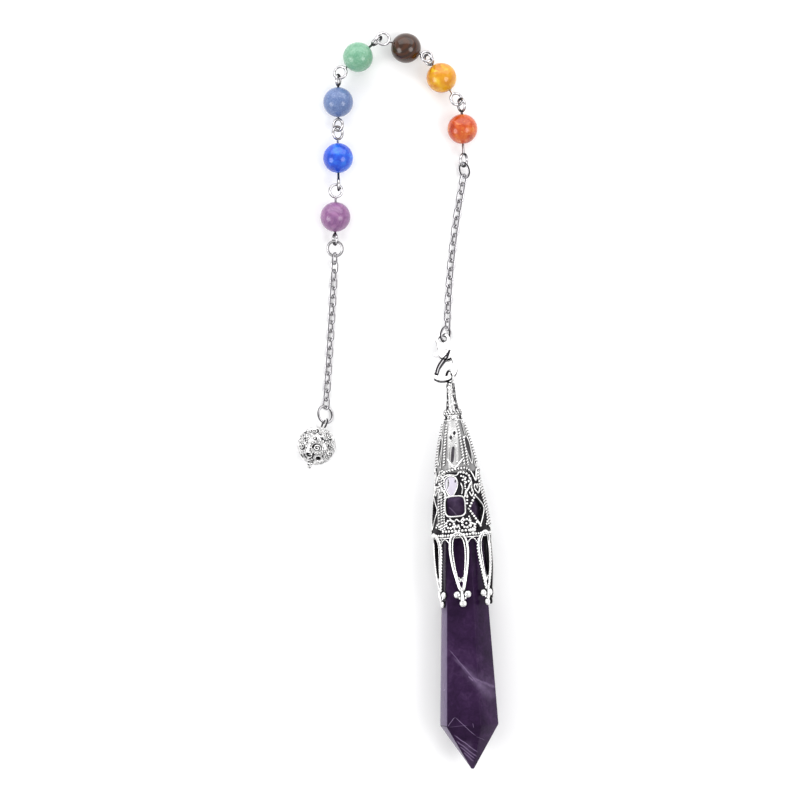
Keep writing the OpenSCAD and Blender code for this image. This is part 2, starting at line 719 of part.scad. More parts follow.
crystal();
cap();
clasp_body();
clasp_lever();
clasp_rivet();
jump_ring(clasp_ring_at, clasp_ring_pose, ring_d);  // ring_clasp
chain(lower_joints, lower_headings, lower_rise);  // chain_lower
jump_ring(lower_ring_at, lower_ring_pose, ring_d);  // ring_lower
bead(0, "orangered");  // bead_orange
bead(1, "goldenrod");  // bead_yellow
bead(2, "saddlebrown");  // bead_brown
bead(3, "darkseagreen");  // bead_green
bead(4, "cornflowerblue");  // bead_light_blue
bead(5, "royalblue");  // bead_blue
bead(6, "mediumorchid");  // bead_purple
pin(0);  // pin_orange
pin(1);  // pin_yellow
pin(2);  // pin_brown
pin(3);  // pin_green
pin(4);  // pin_light_blue
pin(5);  // pin_blue
pin(6);  // pin_purple
jump_ring(upper_ring_at, upper_ring_pose, ring_d);  // ring_upper
chain(upper_joints, upper_headings, upper_rise);  // chain_upper
jump_ring(ball_ring_at, ball_ring_pose, ball_ring_d);  // ring_ball
ball_charm();
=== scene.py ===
"""A pendulum pendant lying on a pale table: stone point, openwork cap, clasp, chains, seven beads and a ball.

All lengths are in metres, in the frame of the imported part. Tables of the ornament are in millimetres,
because that is how a maker draws them, and are turned into metres where they are used.
"""
import logging
import math
from collections.abc import Iterable, Sequence
from dataclasses import dataclass, field
from enum import Enum

import bmesh
import bpy
import numpy as np
from mathutils import Matrix, Vector


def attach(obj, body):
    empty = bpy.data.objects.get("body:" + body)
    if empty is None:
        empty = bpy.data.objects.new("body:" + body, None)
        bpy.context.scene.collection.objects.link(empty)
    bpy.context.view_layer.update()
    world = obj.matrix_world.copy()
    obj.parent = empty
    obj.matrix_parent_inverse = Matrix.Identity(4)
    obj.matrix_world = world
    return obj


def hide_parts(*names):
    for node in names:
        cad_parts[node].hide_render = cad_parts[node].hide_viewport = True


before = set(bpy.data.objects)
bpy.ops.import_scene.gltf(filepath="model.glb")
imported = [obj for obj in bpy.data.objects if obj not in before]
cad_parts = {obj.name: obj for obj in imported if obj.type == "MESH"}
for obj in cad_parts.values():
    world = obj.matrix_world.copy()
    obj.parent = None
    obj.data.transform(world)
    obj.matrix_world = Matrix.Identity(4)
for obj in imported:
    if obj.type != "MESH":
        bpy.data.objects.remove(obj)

LOG = logging.getLogger("pendant")
MM = 0.001
PENDANT = "pendant"
LEVER = "lever"

Colour = tuple[float, float, float]
Place = tuple[float, float, float]
Outline = tuple[tuple[float, float], ...]
Socket = bpy.types.NodeSocket


class Grain(Enum):
    """How the colour of a bead's stone is laid out."""

    CLOUDS = "clouds"
    BANDS = "bands"
    SPECKS = "specks"
    SWIRLS = "swirls"


class Line(Enum):
    """How a line of relief on the cap is made."""

    WIRE = "wire"
    BEADS = "beads"
    ROPE = "rope"


class PaintedShade(Enum):
    """Where a wire gets painted shade: none, all but its outer side (foot), or its outer and inner sides while its
    flanks stay bright (rim).
    """

    NONE = "none"
    FOOT = "foot"
    RIM = "rim"


# Node work


def live_socket(sockets: Iterable[Socket], name: object) -> Socket:
    """The socket of that name or number among those in use."""
    live = [s for s in sockets if s.enabled]
    return live[name] if isinstance(name, int) else next(s for s in live if s.name == name)


def add_node(
    tree: bpy.types.NodeTree, kind: str, settings: dict[str, object], inputs: dict[object, object]
) -> bpy.types.Node:
    """Adds a node to a tree.

    Args:
        tree: the tree.
        kind: the node's type.
        settings: its own settings, set first.
        inputs: values, or sockets to link, by a socket's name or number.

    Returns:
        The node.
    """
    made = tree.nodes.new(kind)
    for name, value in settings.items():
        setattr(made, name, value)
    for name, value in inputs.items():
        socket = live_socket(made.inputs, name)
        if isinstance(value, Socket):
            tree.links.new(value, socket)
        else:
            socket.default_value = value
    return made


class Wire:
    """A shader socket that takes part in sums and products."""

    def __init__(self, bench: "Bench", socket: Socket) -> None:
        """Notes the bench that the socket is on."""
        self.bench = bench
        self.socket = socket

    def _sum(self, operation: str, *values: object) -> "Wire":
        """Adds one Math node."""
        return self.bench.node("ShaderNodeMath", {"operation": operation}, dict(enumerate(values)))

    def __add__(self, other: object) -> "Wire":
        """This plus other."""
        return self._sum("ADD", self, other)

    __radd__ = __add__

    def __sub__(self, other: object) -> "Wire":
        """This less other."""
        return self._sum("SUBTRACT", self, other)

    def __rsub__(self, other: object) -> "Wire":
        """Other less this."""
        return self._sum("SUBTRACT", other, self)

    def __mul__(self, other: object) -> "Wire":
        """This times other."""
        return self._sum("MULTIPLY", self, other)

    __rmul__ = __mul__

    def __truediv__(self, other: object) -> "Wire":
        """This over other."""
        return self._sum("DIVIDE", self, other)

    def __abs__(self) -> "Wire":
        """This without its sign."""
        return self._sum("ABSOLUTE", self)

    def between(self, low: float, high: float) -> "Wire":
        """0 at low and 1 at high, held at both ends.

        Args:
            low: the value that becomes 0.
            high: the value that becomes 1.

        Returns:
            The stretched value.
        """
        ends = {"Value": self, "From Min": low, "From Max": high}
        return self.bench.node("ShaderNodeMapRange", {"clamp": True}, ends)


class Bench:
    """Builds one material out of nodes."""

    def __init__(self, name: str) -> None:
        """Starts an empty material.

        Args:
            name: the material's name.
        """
        self.material = bpy.data.materials.new(name)
        self.material.use_nodes = True
        self.tree = self.material.node_tree
        self.tree.nodes.clear()

    def node(self, kind: str, settings: dict[str, object], inputs: dict[object, object], output: object = 0) -> Wire:
        """Adds a node.

        Args:
            kind: the node's type.
            settings: its own settings, set first.
            inputs: values or links, by a socket's name or number.
            output: the socket that is handed back, by name or number.

        Returns:
            That socket.
        """
        plain = {name: value.socket if isinstance(value, Wire) else value for name, value in inputs.items()}
        return Wire(self, live_socket(add_node(self.tree, kind, settings, plain).outputs, output))

    def coordinates(self, centre: Place = (0, 0, 0), turn: Place = (0, 0, 0), stretch: Place = (1, 1, 1)) -> Wire:
        """Object coordinates, moved so that centre is the origin, then turned and stretched.

        Args:
            centre: what becomes the origin, in metres.
            turn: angles in radians.
            stretch: factors along the turned axes.

        Returns:
            The coordinates.
        """
        plain = self.node("ShaderNodeTexCoord", {}, {}, "Object")
        moved = self.node("ShaderNodeVectorMath", {"operation": "SUBTRACT"}, {0: plain, 1: centre})
        values = {"Vector": moved, "Rotation": turn, "Scale": stretch}
        return self.node("ShaderNodeMapping", {"vector_type": "POINT"}, values)

    def parts(self, vector: Wire) -> list[Wire]:
        """The X, Y and Z of a vector."""
        split = self.node("ShaderNodeSeparateXYZ", {}, {0: vector})
        return [Wire(self, output) for output in split.socket.node.outputs]

    def noise(self, where: Wire, size_mm: float, detail: float = 3, warp: float = 0, rough: float = 0.5) -> Wire:
        """Smooth noise with lumps of about a size.

        Args:
            where: coordinates.
            size_mm: size of the lumps.
            detail: octaves.
            warp: distortion.
            rough: weight of the finer octaves.

        Returns:
            A value from 0 to 1.
        """
        values = {"Vector": where, "Scale": 1 / (size_mm * MM), "Detail": detail}
        return self.node("ShaderNodeTexNoise", {}, {**values, "Roughness": rough, "Distortion": warp})

    def ramp(self, value: Wire, *stops: tuple[float, Colour]) -> Wire:
        """A colour ramp along a value.

        Args:
            value: what it runs along.
            stops: places and their colours.

        Returns:
            The colour.
        """
        made = self.node("ShaderNodeValToRGB", {}, {"Fac": value}, "Color")
        elements = made.socket.node.color_ramp.elements
        while len(elements) > 1:
            elements.remove(elements[-1])
        for i, (at, colour) in enumerate(stops):
            stop = elements[0] if i == 0 else elements.new(at)
            stop.position, stop.color = at, (*colour, 1)
        return made

    def mix(self, share: object, first: object, second: object) -> Wire:
        """Mixes two colours."""
        one, two = ((*c, 1) if isinstance(c, tuple) else c for c in (first, second))
        return self.node("ShaderNodeMix", {"data_type": "RGBA"}, {"Factor": share, "A": one, "B": two}, "Result")

    def attribute(self, name: str) -> Wire:
        """A value stored on the mesh."""
        return self.node("ShaderNodeAttribute", {"attribute_name": name}, {}, "Fac")

    def bump(self, height: Wire, depth_mm: float) -> Wire:
        """A normal bumped by heights from 0 to 1, where 1 measures depth_mm."""
        return self.node("ShaderNodeBump", {}, {"Height": height, "Distance": depth_mm * MM, "Strength": 1.0})

    def finish(self, inputs: dict[object, object]) -> bpy.types.Material:
        """Closes the material with a Principled shader.

        Args:
            inputs: its sockets' values or links.

        Returns:
            The material.
        """
        surface = self.node("ShaderNodeBsdfPrincipled", {}, inputs)
        end = self.tree.nodes.new("ShaderNodeOutputMaterial")
        self.tree.links.new(surface.socket, end.inputs["Surface"])
        return self.material


# Finishes


@dataclass(frozen=True)
class Silver:
    """Plated metal, cast or drawn, darkened by a stored value that is mostly painted shade in crevices, under ornament
    and along the sides of wires, with some dark marks.
    """

    name: str
    bright: Colour = (0.93, 0.925, 0.92)
    dark: Colour = (0.022, 0.02, 0.024)
    gloss: float = 0.16
    cast_mm: float = 0.45
    cast_depth_mm: float = 0.02
    cloud_mm: float = 1.6
    cloud_share: float = 0.072
    # Painted light: a pale matte coat and a glow for inner walls, standing in for the lit table seen through the
    # openings.
    painted_light_lining: Colour = (0.84, 0.81, 0.86)
    glow: Colour = (0.44, 0.425, 0.475)

    def material(self) -> bpy.types.Material:
        """The metal as a material: darkened by stored painted shade and marks, and where its inner wall shows, a pale
        coat and glow as painted light.

        Returns:
            The material.
        """
        bench = Bench(self.name)
        where = bench.coordinates()
        lumps = bench.noise(where, self.cast_mm, 4)
        fine = bench.noise(where, self.cast_mm / 5, 2)
        clouds = bench.noise(where, self.cloud_mm, 3).between(0.35, 0.75)
        # Random clouds of tone, plus the stored darkening, most of which is painted shade.
        share = clouds * self.cloud_share + bench.attribute("hollow") * (0.95 + 0.3 * fine)
        inside = bench.attribute("inside")
        sockets: dict[object, object] = {
            # The pale coat and the emission below are painted light, not a lamp.
            "Base Color": bench.mix(inside, bench.mix(share, self.bright, self.dark), self.painted_light_lining),
            "Metallic": 1 - 0.9 * inside,
            "Roughness": self.gloss + 0.16 * lumps + 0.25 * share + 0.4 * inside,
            "Emission Color": bench.mix(bench.attribute("lit"), (0.0, 0.0, 0.0), self.glow),
            "Emission Strength": 1.0,
            "Normal": bench.bump(lumps + 0.3 * fine, self.cast_depth_mm),
        }
        return bench.finish(sockets)


@dataclass(frozen=True)
class Stone:
    """A polished round bead of stone."""

    name: str
    grain: Grain
    light: Colour
    middle: Colour
    deep: Colour
    size_mm: float = 2.2
    spots: Colour | None = None
    cloudy: float = 0.2

    def material(self, centre: Place, seed: float) -> bpy.types.Material:
        """The stone as a material.

        Args:
            centre: the bead's centre.
            seed: angle in radians that turns the pattern, so that no two beads share it.

        Returns:
            The material.
        """
        bench = Bench(self.name)
        where = bench.coordinates(centre, (seed, seed * 1.7, seed * 0.6))
        broad = bench.noise(where, self.size_mm, 3, 0.6)
        fine = bench.noise(where, self.size_mm / 7, 3)
        body = {
            Grain.CLOUDS: lambda: broad + 0.25 * (fine - 0.5),
            Grain.BANDS: lambda: self._bands(bench, where),
            Grain.SPECKS: lambda: 0.45 * broad + 0.55 * fine,
            Grain.SWIRLS: lambda: bench.noise(where, self.size_mm * 0.8, 4, 2.4, 0.6),
        }[self.grain]()
        colour = bench.ramp(body, (0.3, self.deep), (0.5, self.middle), (0.72, self.light))
        if self.spots is not None:
            spots = bench.noise(where, self.size_mm * 0.45, 2, 0.8).between(0.58, 0.7)
            colour = bench.mix(spots * 0.8, colour, self.spots)
        haze = bench.noise(where, 0.35, 2)
        sockets: dict[object, object] = {
            "Base Color": colour,
            "Roughness": 0.15 + 0.06 * haze,
            "IOR": 1.54,
            "Subsurface Weight": self.cloudy,
            "Subsurface Radius": (1.0, 0.8, 0.7),
            "Subsurface Scale": 0.0012,
            "Normal": bench.bump(haze, 0.004),
        }
        return bench.finish(sockets)

    def _bands(self, bench: Bench, where: Wire) -> Wire:
        """Silky bands across the stone.

        Args:
            bench: the material's bench.
            where: coordinates.

        Returns:
            A value from 0 to 1.
        """
        settings = {"wave_type": "BANDS", "bands_direction": "X"}
        wander = {"Distortion": 3.0, "Detail": 3.0, "Detail Scale": 1.6}
        values = {"Vector": where, "Scale": 0.32 / (self.size_mm * MM), **wander}
        return bench.node("ShaderNodeTexWave", settings, values, "Fac") * 0.55 + 0.22


@dataclass(frozen=True)
class Streak:
    """A pale mark on the stone, millimetres right of its point and up from it at both ends: mostly light lines inside
    it, a few painted light.
    """

    start: tuple[float, float]
    end: tuple[float, float]
    half: float
    strength: float
    spread: float = 0.0


@dataclass(frozen=True)
class Amethyst:
    """Dark purple quartz with a broad veil, thin healed cracks and stripes of growth near the point; painted
    reflection on its left facets and painted light where the cap's openings show it.
    """

    name: str = "amethyst"
    deep: Colour = (0.016, 0.0065, 0.024)
    middle: Colour = (0.029, 0.012, 0.042)
    light: Colour = (0.066, 0.033, 0.088)
    pale: Colour = (0.25, 0.18, 0.31)
    # Painted reflection of the left lamp on the left facets, faded out towards the cap where they lie in shadow.
    flank: Colour = (0.235, 0.185, 0.3)
    flank_from: tuple[float, float] = (-34 * MM, -31 * MM)
    grain_turn: float = 0.75
    streaks_and_painted_light: tuple[Streak, ...] = (
        Streak((-3.6, 24.2), (1.9, 17.3), 0.13, 0.34),
        Streak((-2.8, 22.6), (3.6, 15.8), 0.34, 0.2, 0.5),
        Streak((1.0, 18.4), (5.6, 16.0), 0.16, 0.3, 0.3),
        Streak((0.2, 18.6), (5.4, 13.8), 0.45, 0.17, 1.3),
        Streak((0.1, 18.7), (1.0, 17.8), 0.16, 0.5),
        # The next three lie under the cap's openings: painted light that brightens the stone seen through them, which
        # lies in the cap's shadow.
        Streak((-1.6, 54.6), (-1.6, 49.8), 2.4, 0.24),
        Streak((-2.6, 52.5), (-1.0, 50.7), 0.15, 0.95),
        Streak((3.2, 53.9), (3.2, 49.2), 1.7, 0.42),
        Streak((-1.3, 20.6), (5.0, 15.4), 1.2, 0.09, 2.0),
        Streak((-4.4, 8.8), (-2.9, 10.7), 0.09, 0.6),
        Streak((-2.9, 10.7), (1.2, 6.7), 0.08, 0.65),
        Streak((1.2, 6.7), (3.0, 5.7), 0.06, 0.35),
        Streak((-4.2, 8.7), (-0.4, 9.0), 0.06, 0.3),
        Streak((-3.2, 7.1), (1.5, 3.3), 0.13, 0.65),
        Streak((-2.8, 5.9), (1.3, 2.4), 0.16, 0.55),
        Streak((-2.1, 4.7), (0.9, 2.0), 0.14, 0.6),
        Streak((-1.4, 3.5), (0.6, 1.5), 0.17, 0.5),
        Streak((-4.9, 15.8), (-4.6, 16.2), 0.1, 0.9),
        Streak((0.6, 9.4), (0.8, 8.4), 0.07, 0.5),
        Streak((-0.8, 6.0), (0.2, -0.6), 1.3, 0.12),
    )

    def material(self, tip: Place, heading: float) -> bpy.types.Material:
        """The stone as a material.

        Args:
            tip: the stone's point.
            heading: direction of the stone's axis, in radians.

        Returns:
            The material.
        """
        bench = Bench(self.name)
        along = bench.coordinates(tip, (0, 0, -heading))
        broad = bench.noise(along, 8, 4, 0.8)
        small = bench.noise(along, 1.2, 5, 1.2)
        body = bench.ramp(0.65 * broad + 0.35 * small, (0.38, self.deep), (0.56, self.middle), (0.82, self.light))
        drawn = bench.coordinates(tip, (0.3, 0.5, self.grain_turn - heading), (0.3, 1.5, 1))
        veil = bench.noise(drawn, 3.0, 5, 1.5, 0.62).between(0.55, 0.8)
        body = bench.mix(veil * broad.between(0.4, 0.7) * 0.8, body, self.light)
        for streak in self.streaks_and_painted_light:
            share = self._mask(bench, streak, tip, heading) * (0.55 + 0.9 * small)
            body = bench.mix(share, body, self.pale)
        # Painted reflection on the left facets, fading out towards the cap.
        below = bench.parts(along)[0].between(*self.flank_from)
        body = bench.mix(bench.attribute("flank") * below * (0.38 + 0.24 * small), body, self.flank)
        sockets: dict[object, object] = {
            "Base Color": body,
            "Roughness": 0.1 + 0.12 * small,
            "IOR": 1.55,
            "Specular IOR Level": 0.05,
            "Subsurface Weight": 0.1,
            "Subsurface Radius": (0.8, 0.4, 1.0),
            "Subsurface Scale": 0.002,
            "Normal": bench.bump(bench.noise(along, 3.5, 2) + 0.15 * small, 0.03),
        }
        return bench.finish(sockets)

    def _mask(self, bench: Bench, streak: Streak, tip: Place, heading: float) -> Wire:
        """How strongly a streak shows at each place.

        Args:
            bench: the material's bench.
            streak: the streak.
            tip: the stone's point.
            heading: direction of the stone's axis, in radians.

        Returns:
            A value from 0 to 1.
        """
        axes = MM * np.array([[-math.sin(heading), math.cos(heading)], [-math.cos(heading), -math.sin(heading)]])
        start, end = (np.array(tip[:2]) + place @ axes for place in (streak.start, streak.end))
        middle, run = (start + end) / 2, end - start
        angle, half_run = math.atan2(run[1], run[0]), float(np.linalg.norm(run)) / 2
        where = bench.coordinates((*middle, tip[2]), (0, 0, -angle))
        x, y, _ = bench.parts(where)
        wave = (bench.noise(where, 1.8, 2) - 0.5) * (0.25 * MM + streak.half * MM)
        reach = streak.half * MM
        if streak.spread:
            reach = (x / half_run * 0.5 + 0.5) * (streak.spread * MM) + reach
        side = (1 - abs(y + wave) / reach).between(0, 0.8)
        return side * abs(x).between(half_run, half_run * 0.75) * streak.strength


@dataclass(frozen=True)
class Paper:
    """The plain white table."""

    name: str = "table"
    colour: Colour = (0.93, 0.93, 0.935)

    def material(self) -> bpy.types.Material:
        """The table as a material.

        Returns:
            The material.
        """
        bench = Bench(self.name)
        tooth = bench.noise(bench.coordinates(), 0.6, 2)
        colour = bench.mix(0.03 * tooth, self.colour, (0.8, 0.8, 0.8))
        return bench.finish({"Base Color": colour, "Roughness": 0.8, "Specular IOR Level": 0.2})


# Mesh work


def unit(v: np.ndarray) -> np.ndarray:
    """Vectors made one long."""
    return v / np.maximum(np.linalg.norm(v, axis=-1, keepdims=True), 1e-12)


def around(count: int) -> np.ndarray:
    """Even angles round a circle, in radians."""
    return np.arange(count) * 2 * np.pi / count


def wrapped(rows: int, columns: int, closed: bool = False) -> np.ndarray:
    """Faces of a grid of points whose rows run round.

    Args:
        rows: rows of points.
        columns: points in a row.
        closed: whether the last row joins the first.

    Returns:
        The four corners of each face.
    """
    i, k = (g.ravel() for g in np.meshgrid(np.arange(rows if closed else rows - 1), np.arange(columns), indexing="ij"))
    j, m = (i + 1) % rows, (k + 1) % columns
    return np.column_stack([i * columns + k, j * columns + k, j * columns + m, i * columns + m])


def square_to(axis: np.ndarray, hint: Sequence[float]) -> tuple[np.ndarray, np.ndarray]:
    """Two directions square to an axis and to each other, the first square to a hint too."""
    one = unit(np.cross(axis, hint))
    return one, np.cross(axis, one)


def circle(angles: np.ndarray, one: np.ndarray, two: np.ndarray) -> np.ndarray:
    """Directions at angles from one direction towards another."""
    return np.cos(angles)[:, None] * one + np.sin(angles)[:, None] * two


def smooth_line(points: Sequence[Sequence[float]], steps: int, closed: bool = False) -> np.ndarray:
    """A curve through points.

    Args:
        points: the points that it goes through.
        steps: places on each stretch between two points.
        closed: whether it runs on to its start.

    Returns:
        The curve's points.
    """
    p = np.asarray(points, float)
    n = len(p)
    made = []
    for i in range(n if closed else n - 1):
        a, b, c, d = ((p[(i + k) % n] if closed else p[min(max(i + k, 0), n - 1)]) for k in (-1, 0, 1, 2))
        for t in np.arange(steps) / steps:
            bend = (2 * a - 5 * b + 4 * c - d) * t**2 + (3 * b - a - 3 * c + d) * t**3
            made.append(0.5 * (2 * b + (c - a) * t + bend))
    if not closed:
        made.append(p[-1])
    return np.array(made)


def even_line(points: np.ndarray, gap: float, closed: bool = False) -> np.ndarray:
    """A curve's points set at even distances.

    Args:
        points: the curve.
        gap: distance wanted between neighbours.
        closed: whether it runs on to its start.

    Returns:
        The points; a closed curve's start isn't repeated.
    """
    p = np.vstack([points, points[:1]]) if closed else points
    run = np.concatenate([[0], np.cumsum(np.linalg.norm(np.diff(p, axis=0), axis=1))])
    count = max(int(round(run[-1] / gap)), 3 if closed else 1)
    at = np.linspace(0, run[-1], count + 1)[: count if closed else None]
    return np.column_stack([np.interp(at, run, p[:, k]) for k in range(p.shape[1])])


# How far each ring of a wire's rounded end stands out, and its width, as shares of the wire's
ROUND_END = ((0.7, 0.714), (0.93, 0.37))


class Pile:
    """Points and faces gathered into one mesh."""

    def __init__(self) -> None:
        """Starts with nothing."""
        self.points: list[np.ndarray] = []
        self.faces: list[list[int]] = []
        self.shades: list[np.ndarray] = []
        self.count = 0
        self.shade = 0.0
        self.edge = PaintedShade.NONE

    def add(self, points: np.ndarray, *groups: np.ndarray) -> None:
        """Adds points and the faces between them, with the present painted shade.

        Args:
            points: n by 3.
            groups: arrays of faces that count from these points' first.
        """
        for faces in groups:
            if len(faces):
                self.faces.extend((np.asarray(faces) + self.count).tolist())
        self.points.append(np.asarray(points, float))
        self.shades.append(np.full(len(points), self.shade))
        self.count += len(points)

    def take(self, piece: bpy.types.Object) -> None:
        """Adds the mesh of an object and removes the object.

        Args:
            piece: the object.
        """
        base = self.count
        self.faces.extend([base + v for v in face.vertices] for face in piece.data.polygons)
        self.add(vertices(piece.data))
        layer = piece.data.attributes.get("hollow")
        if layer is not None:
            carried = np.zeros(len(piece.data.vertices), np.float32)
            layer.data.foreach_get("value", carried)
            self.shades[-1] = carried.astype(float)
        bpy.data.objects.remove(piece)

    def tube(
        self,
        path: np.ndarray,
        out: np.ndarray,
        across: float | np.ndarray,
        deep: float | np.ndarray | None = None,
        sides: int = 8,
        closed: bool = False,
    ) -> None:
        """Adds a wire along a path, with rounded ends where it is open.

        Args:
            path: its middle line.
            out: the direction of its outer side at each point.
            across: half its width, at each point or for all.
            deep: half its thickness towards out, like across.
            sides: corners of its section.
            closed: whether it runs on to its start.
        """
        path, out = np.asarray(path, float), np.broadcast_to(out, np.shape(path)).astype(float)
        wide = np.broadcast_to(across, len(path)).astype(float)
        thick = wide if deep is None else np.broadcast_to(deep, len(path)).astype(float)
        if closed:
            along = unit(np.roll(path, -1, 0) - np.roll(path, 1, 0))
        else:
            along = unit(np.vstack([path[1:], path[-1:]]) - np.vstack([path[:1], path[:-1]]))
            tips = [
                (path[e] + along[e] * sign * reach * thick[e], along[e], out[e], wide[e] * scale, thick[e] * scale)
                for e, sign in ((0, -1), (-1, 1))
                for reach, scale in ROUND_END
            ]
            path, along, out, wide, thick = (
                np.array([tips[1][i], tips[0][i], *rows, tips[2][i], tips[3][i]])
                for i, rows in enumerate((path, along, out, wide, thick))
            )
        side = unit(np.cross(along, out))
        up = np.cross(side, along)
        angle = around(sides) + np.pi / 2
        ring = (
            path[:, None]
            + wide[:, None, None] * np.cos(angle)[None, :, None] * side[:, None]
            + thick[:, None, None] * np.sin(angle)[None, :, None] * up[:, None]
        )
        n = len(path)
        ends = [] if closed else [np.arange(sides)[None], n * sides - 1 - np.arange(sides)[None]]
        self.add(ring.reshape(-1, 3), wrapped(n, sides, closed), *ends)
        # Painted shade by the section's angle: darker on all but the outer side, or on the outer and inner sides.
        if self.edge is PaintedShade.FOOT:
            self.shades[-1] = np.maximum(self.shades[-1], np.tile(np.clip(1.1 - 1.5 * np.sin(angle), 0, 1), n))
        if self.edge is PaintedShade.RIM:
            self.shades[-1] = np.tile(np.clip((0.9 - np.abs(np.cos(angle))) / 0.22, 0, 1), n)

    def ball(self, centre: np.ndarray, radius: float, axis: np.ndarray, squash: float = 1.0, rows: int = 8) -> None:
        """Adds a ball, pressed along an axis.

        Args:
            centre: its middle.
            radius: its radius.
            axis: the direction that it is pressed along.
            squash: what is left of its radius along the axis.
            rows: rows of faces from pole to pole.
        """
        axis = unit(np.asarray(axis, float))
        one, two = square_to(axis, [0.3, 0.5, 0.81])
        turns = rows * 2
        polar, turn = np.meshgrid(np.arange(1, rows) * np.pi / rows, around(turns), indexing="ij")
        ring = np.stack([np.sin(polar) * np.cos(turn), np.sin(polar) * np.sin(turn), np.cos(polar) * squash], -1)
        ring = ring.reshape(-1, 3) @ np.array([one, two, axis])
        points = np.vstack([ring, [axis * squash], [-axis * squash]]) * radius + centre
        last, top = (rows - 2) * turns, (rows - 1) * turns
        k = np.arange(turns)
        m = (k + 1) % turns
        caps = np.column_stack([np.full(turns, top), k, m])
        feet = np.column_stack([np.full(turns, top + 1), last + m, last + k])
        self.add(points, wrapped(rows - 1, turns), caps, feet)
        # Painted shade on the ball's lower half, fading out just above its middle.
        if self.edge is PaintedShade.FOOT:
            height = ((points - centre) @ axis) / (radius * squash)
            self.shades[-1] = np.clip(1.0 - 2.2 * height, 0, 1)

    def loop(self, centre: np.ndarray, axis: np.ndarray, radius: float, wire: float) -> None:
        """Adds a closed ring of round wire.

        Args:
            centre: its middle.
            axis: the direction through it.
            radius: radius of the wire's middle line.
            wire: half the wire's thickness.
        """
        out = circle(around(48), *square_to(unit(np.asarray(axis, float)), [0.31, 0.52, 0.79]))
        self.tube(centre + radius * out, out, wire, sides=12, closed=True)

    def plug(self, low: np.ndarray, high: np.ndarray) -> None:
        """Adds the closed prism between two outlines that run the same way.

        Args:
            low: the inner outline.
            high: the outer one.
        """
        n = len(low)
        k = np.arange(n)
        m = (k + 1) % n
        walls = np.column_stack([k, m, n + m, n + k])
        feet = np.column_stack([m, k, np.full(n, 2 * n)])
        lids = np.column_stack([n + k, n + m, np.full(n, 2 * n + 1)])
        self.add(np.vstack([low, high, [low.mean(0)], [high.mean(0)]]), walls, feet, lids)

    def mesh(self, name: str) -> bpy.types.Object:
        """The pile as an object in the scene, shaded smooth.

        Args:
            name: the object's name.

        Returns:
            The object.
        """
        mesh = bpy.data.meshes.new(name)
        mesh.from_pydata(np.vstack(self.points), [], self.faces)
        mesh.update()
        mesh.shade_smooth()
        made = bpy.data.objects.new(name, mesh)
        bpy.context.scene.collection.objects.link(made)
        store(made, hollow=np.concatenate(self.shades))
        return made


def settle(piece: bpy.types.Object) -> bpy.types.Object:
    """Turns an object's modifiers into plain mesh.

    Args:
        piece: the object.

    Returns:
        The same object.
    """
    graph = bpy.context.evaluated_depsgraph_get()
    graph.update()
    mesh = bpy.data.meshes.new_from_object(piece.evaluated_get(graph), preserve_all_data_layers=True, depsgraph=graph)
    piece.modifiers.clear()
    piece.data = mesh
    return piece


def pierce(piece: bpy.types.Object, plugs: Pile) -> None:
    """Cuts plugs out of a piece.

    Args:
        piece: the piece.
        plugs: what is cut out of it.
    """
    cutter = plugs.mesh("cutter")
    cut = piece.modifiers.new("pierced", "BOOLEAN")
    cut.operation, cut.solver, cut.object = "DIFFERENCE", "MANIFOLD", cutter
    settle(piece)
    bpy.data.objects.remove(cutter)


def merged_mesh(node: str) -> bpy.types.Mesh:
    """A copy of a CAD node's mesh with its doubles merged.

    Args:
        node: the CAD node.

    Returns:
        The new mesh, without materials.
    """
    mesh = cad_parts[node].data.copy()
    work = bmesh.new()
    work.from_mesh(mesh)
    bmesh.ops.remove_doubles(work, verts=work.verts, dist=1e-7)
    work.to_mesh(mesh)
    work.free()
    mesh.materials.clear()
    return mesh


def merged_copy(node: str, name: str) -> bpy.types.Object:
    """A CAD node's merged mesh as a new object in the scene."""
    made = bpy.data.objects.new(name, merged_mesh(node))
    bpy.context.scene.collection.objects.link(made)
    return made


def vertices(mesh: bpy.types.Mesh) -> np.ndarray:
    """A mesh's vertices as an array."""
    at = np.empty(len(mesh.vertices) * 3)
    mesh.vertices.foreach_get("co", at)
    return at.reshape(-1, 3)


def store(piece: bpy.types.Object, **values: np.ndarray) -> None:
    """Stores one number a vertex under each name."""
    for name, value in values.items():
        layer = piece.data.attributes.get(name) or piece.data.attributes.new(name, "FLOAT", "POINT")
        layer.data.foreach_set("value", np.asarray(value, np.float32))


def normals_of(piece: bpy.types.Object) -> np.ndarray:
    """The normal at each vertex of a piece."""
    normals = np.empty(len(piece.data.vertices) * 3, np.float32)
    piece.data.vertex_normals.foreach_get("vector", normals)
    return normals.reshape(-1, 3)


def steep(piece: bpy.types.Object, level: float) -> np.ndarray:
    """1 where a piece is steeper than a level, where 1 is flat and 0 upright, fading to 0 just above it."""
    return np.clip((level - np.abs(normals_of(piece)[:, 2])) / 0.25, 0, 1)


def reach_to(points: np.ndarray, marks: np.ndarray) -> np.ndarray:
    """Distance from each point to the nearest mark.

    Args:
        points: n by 3.
        marks: m by 3.

    Returns:
        n distances.
    """
    best = np.full(len(points), np.inf)
    for part in np.array_split(marks, max(len(marks) // 400, 1)):
        gaps = np.linalg.norm(points[:, None] - part[None], axis=2)
        best = np.minimum(best, gaps.min(1))
    return best


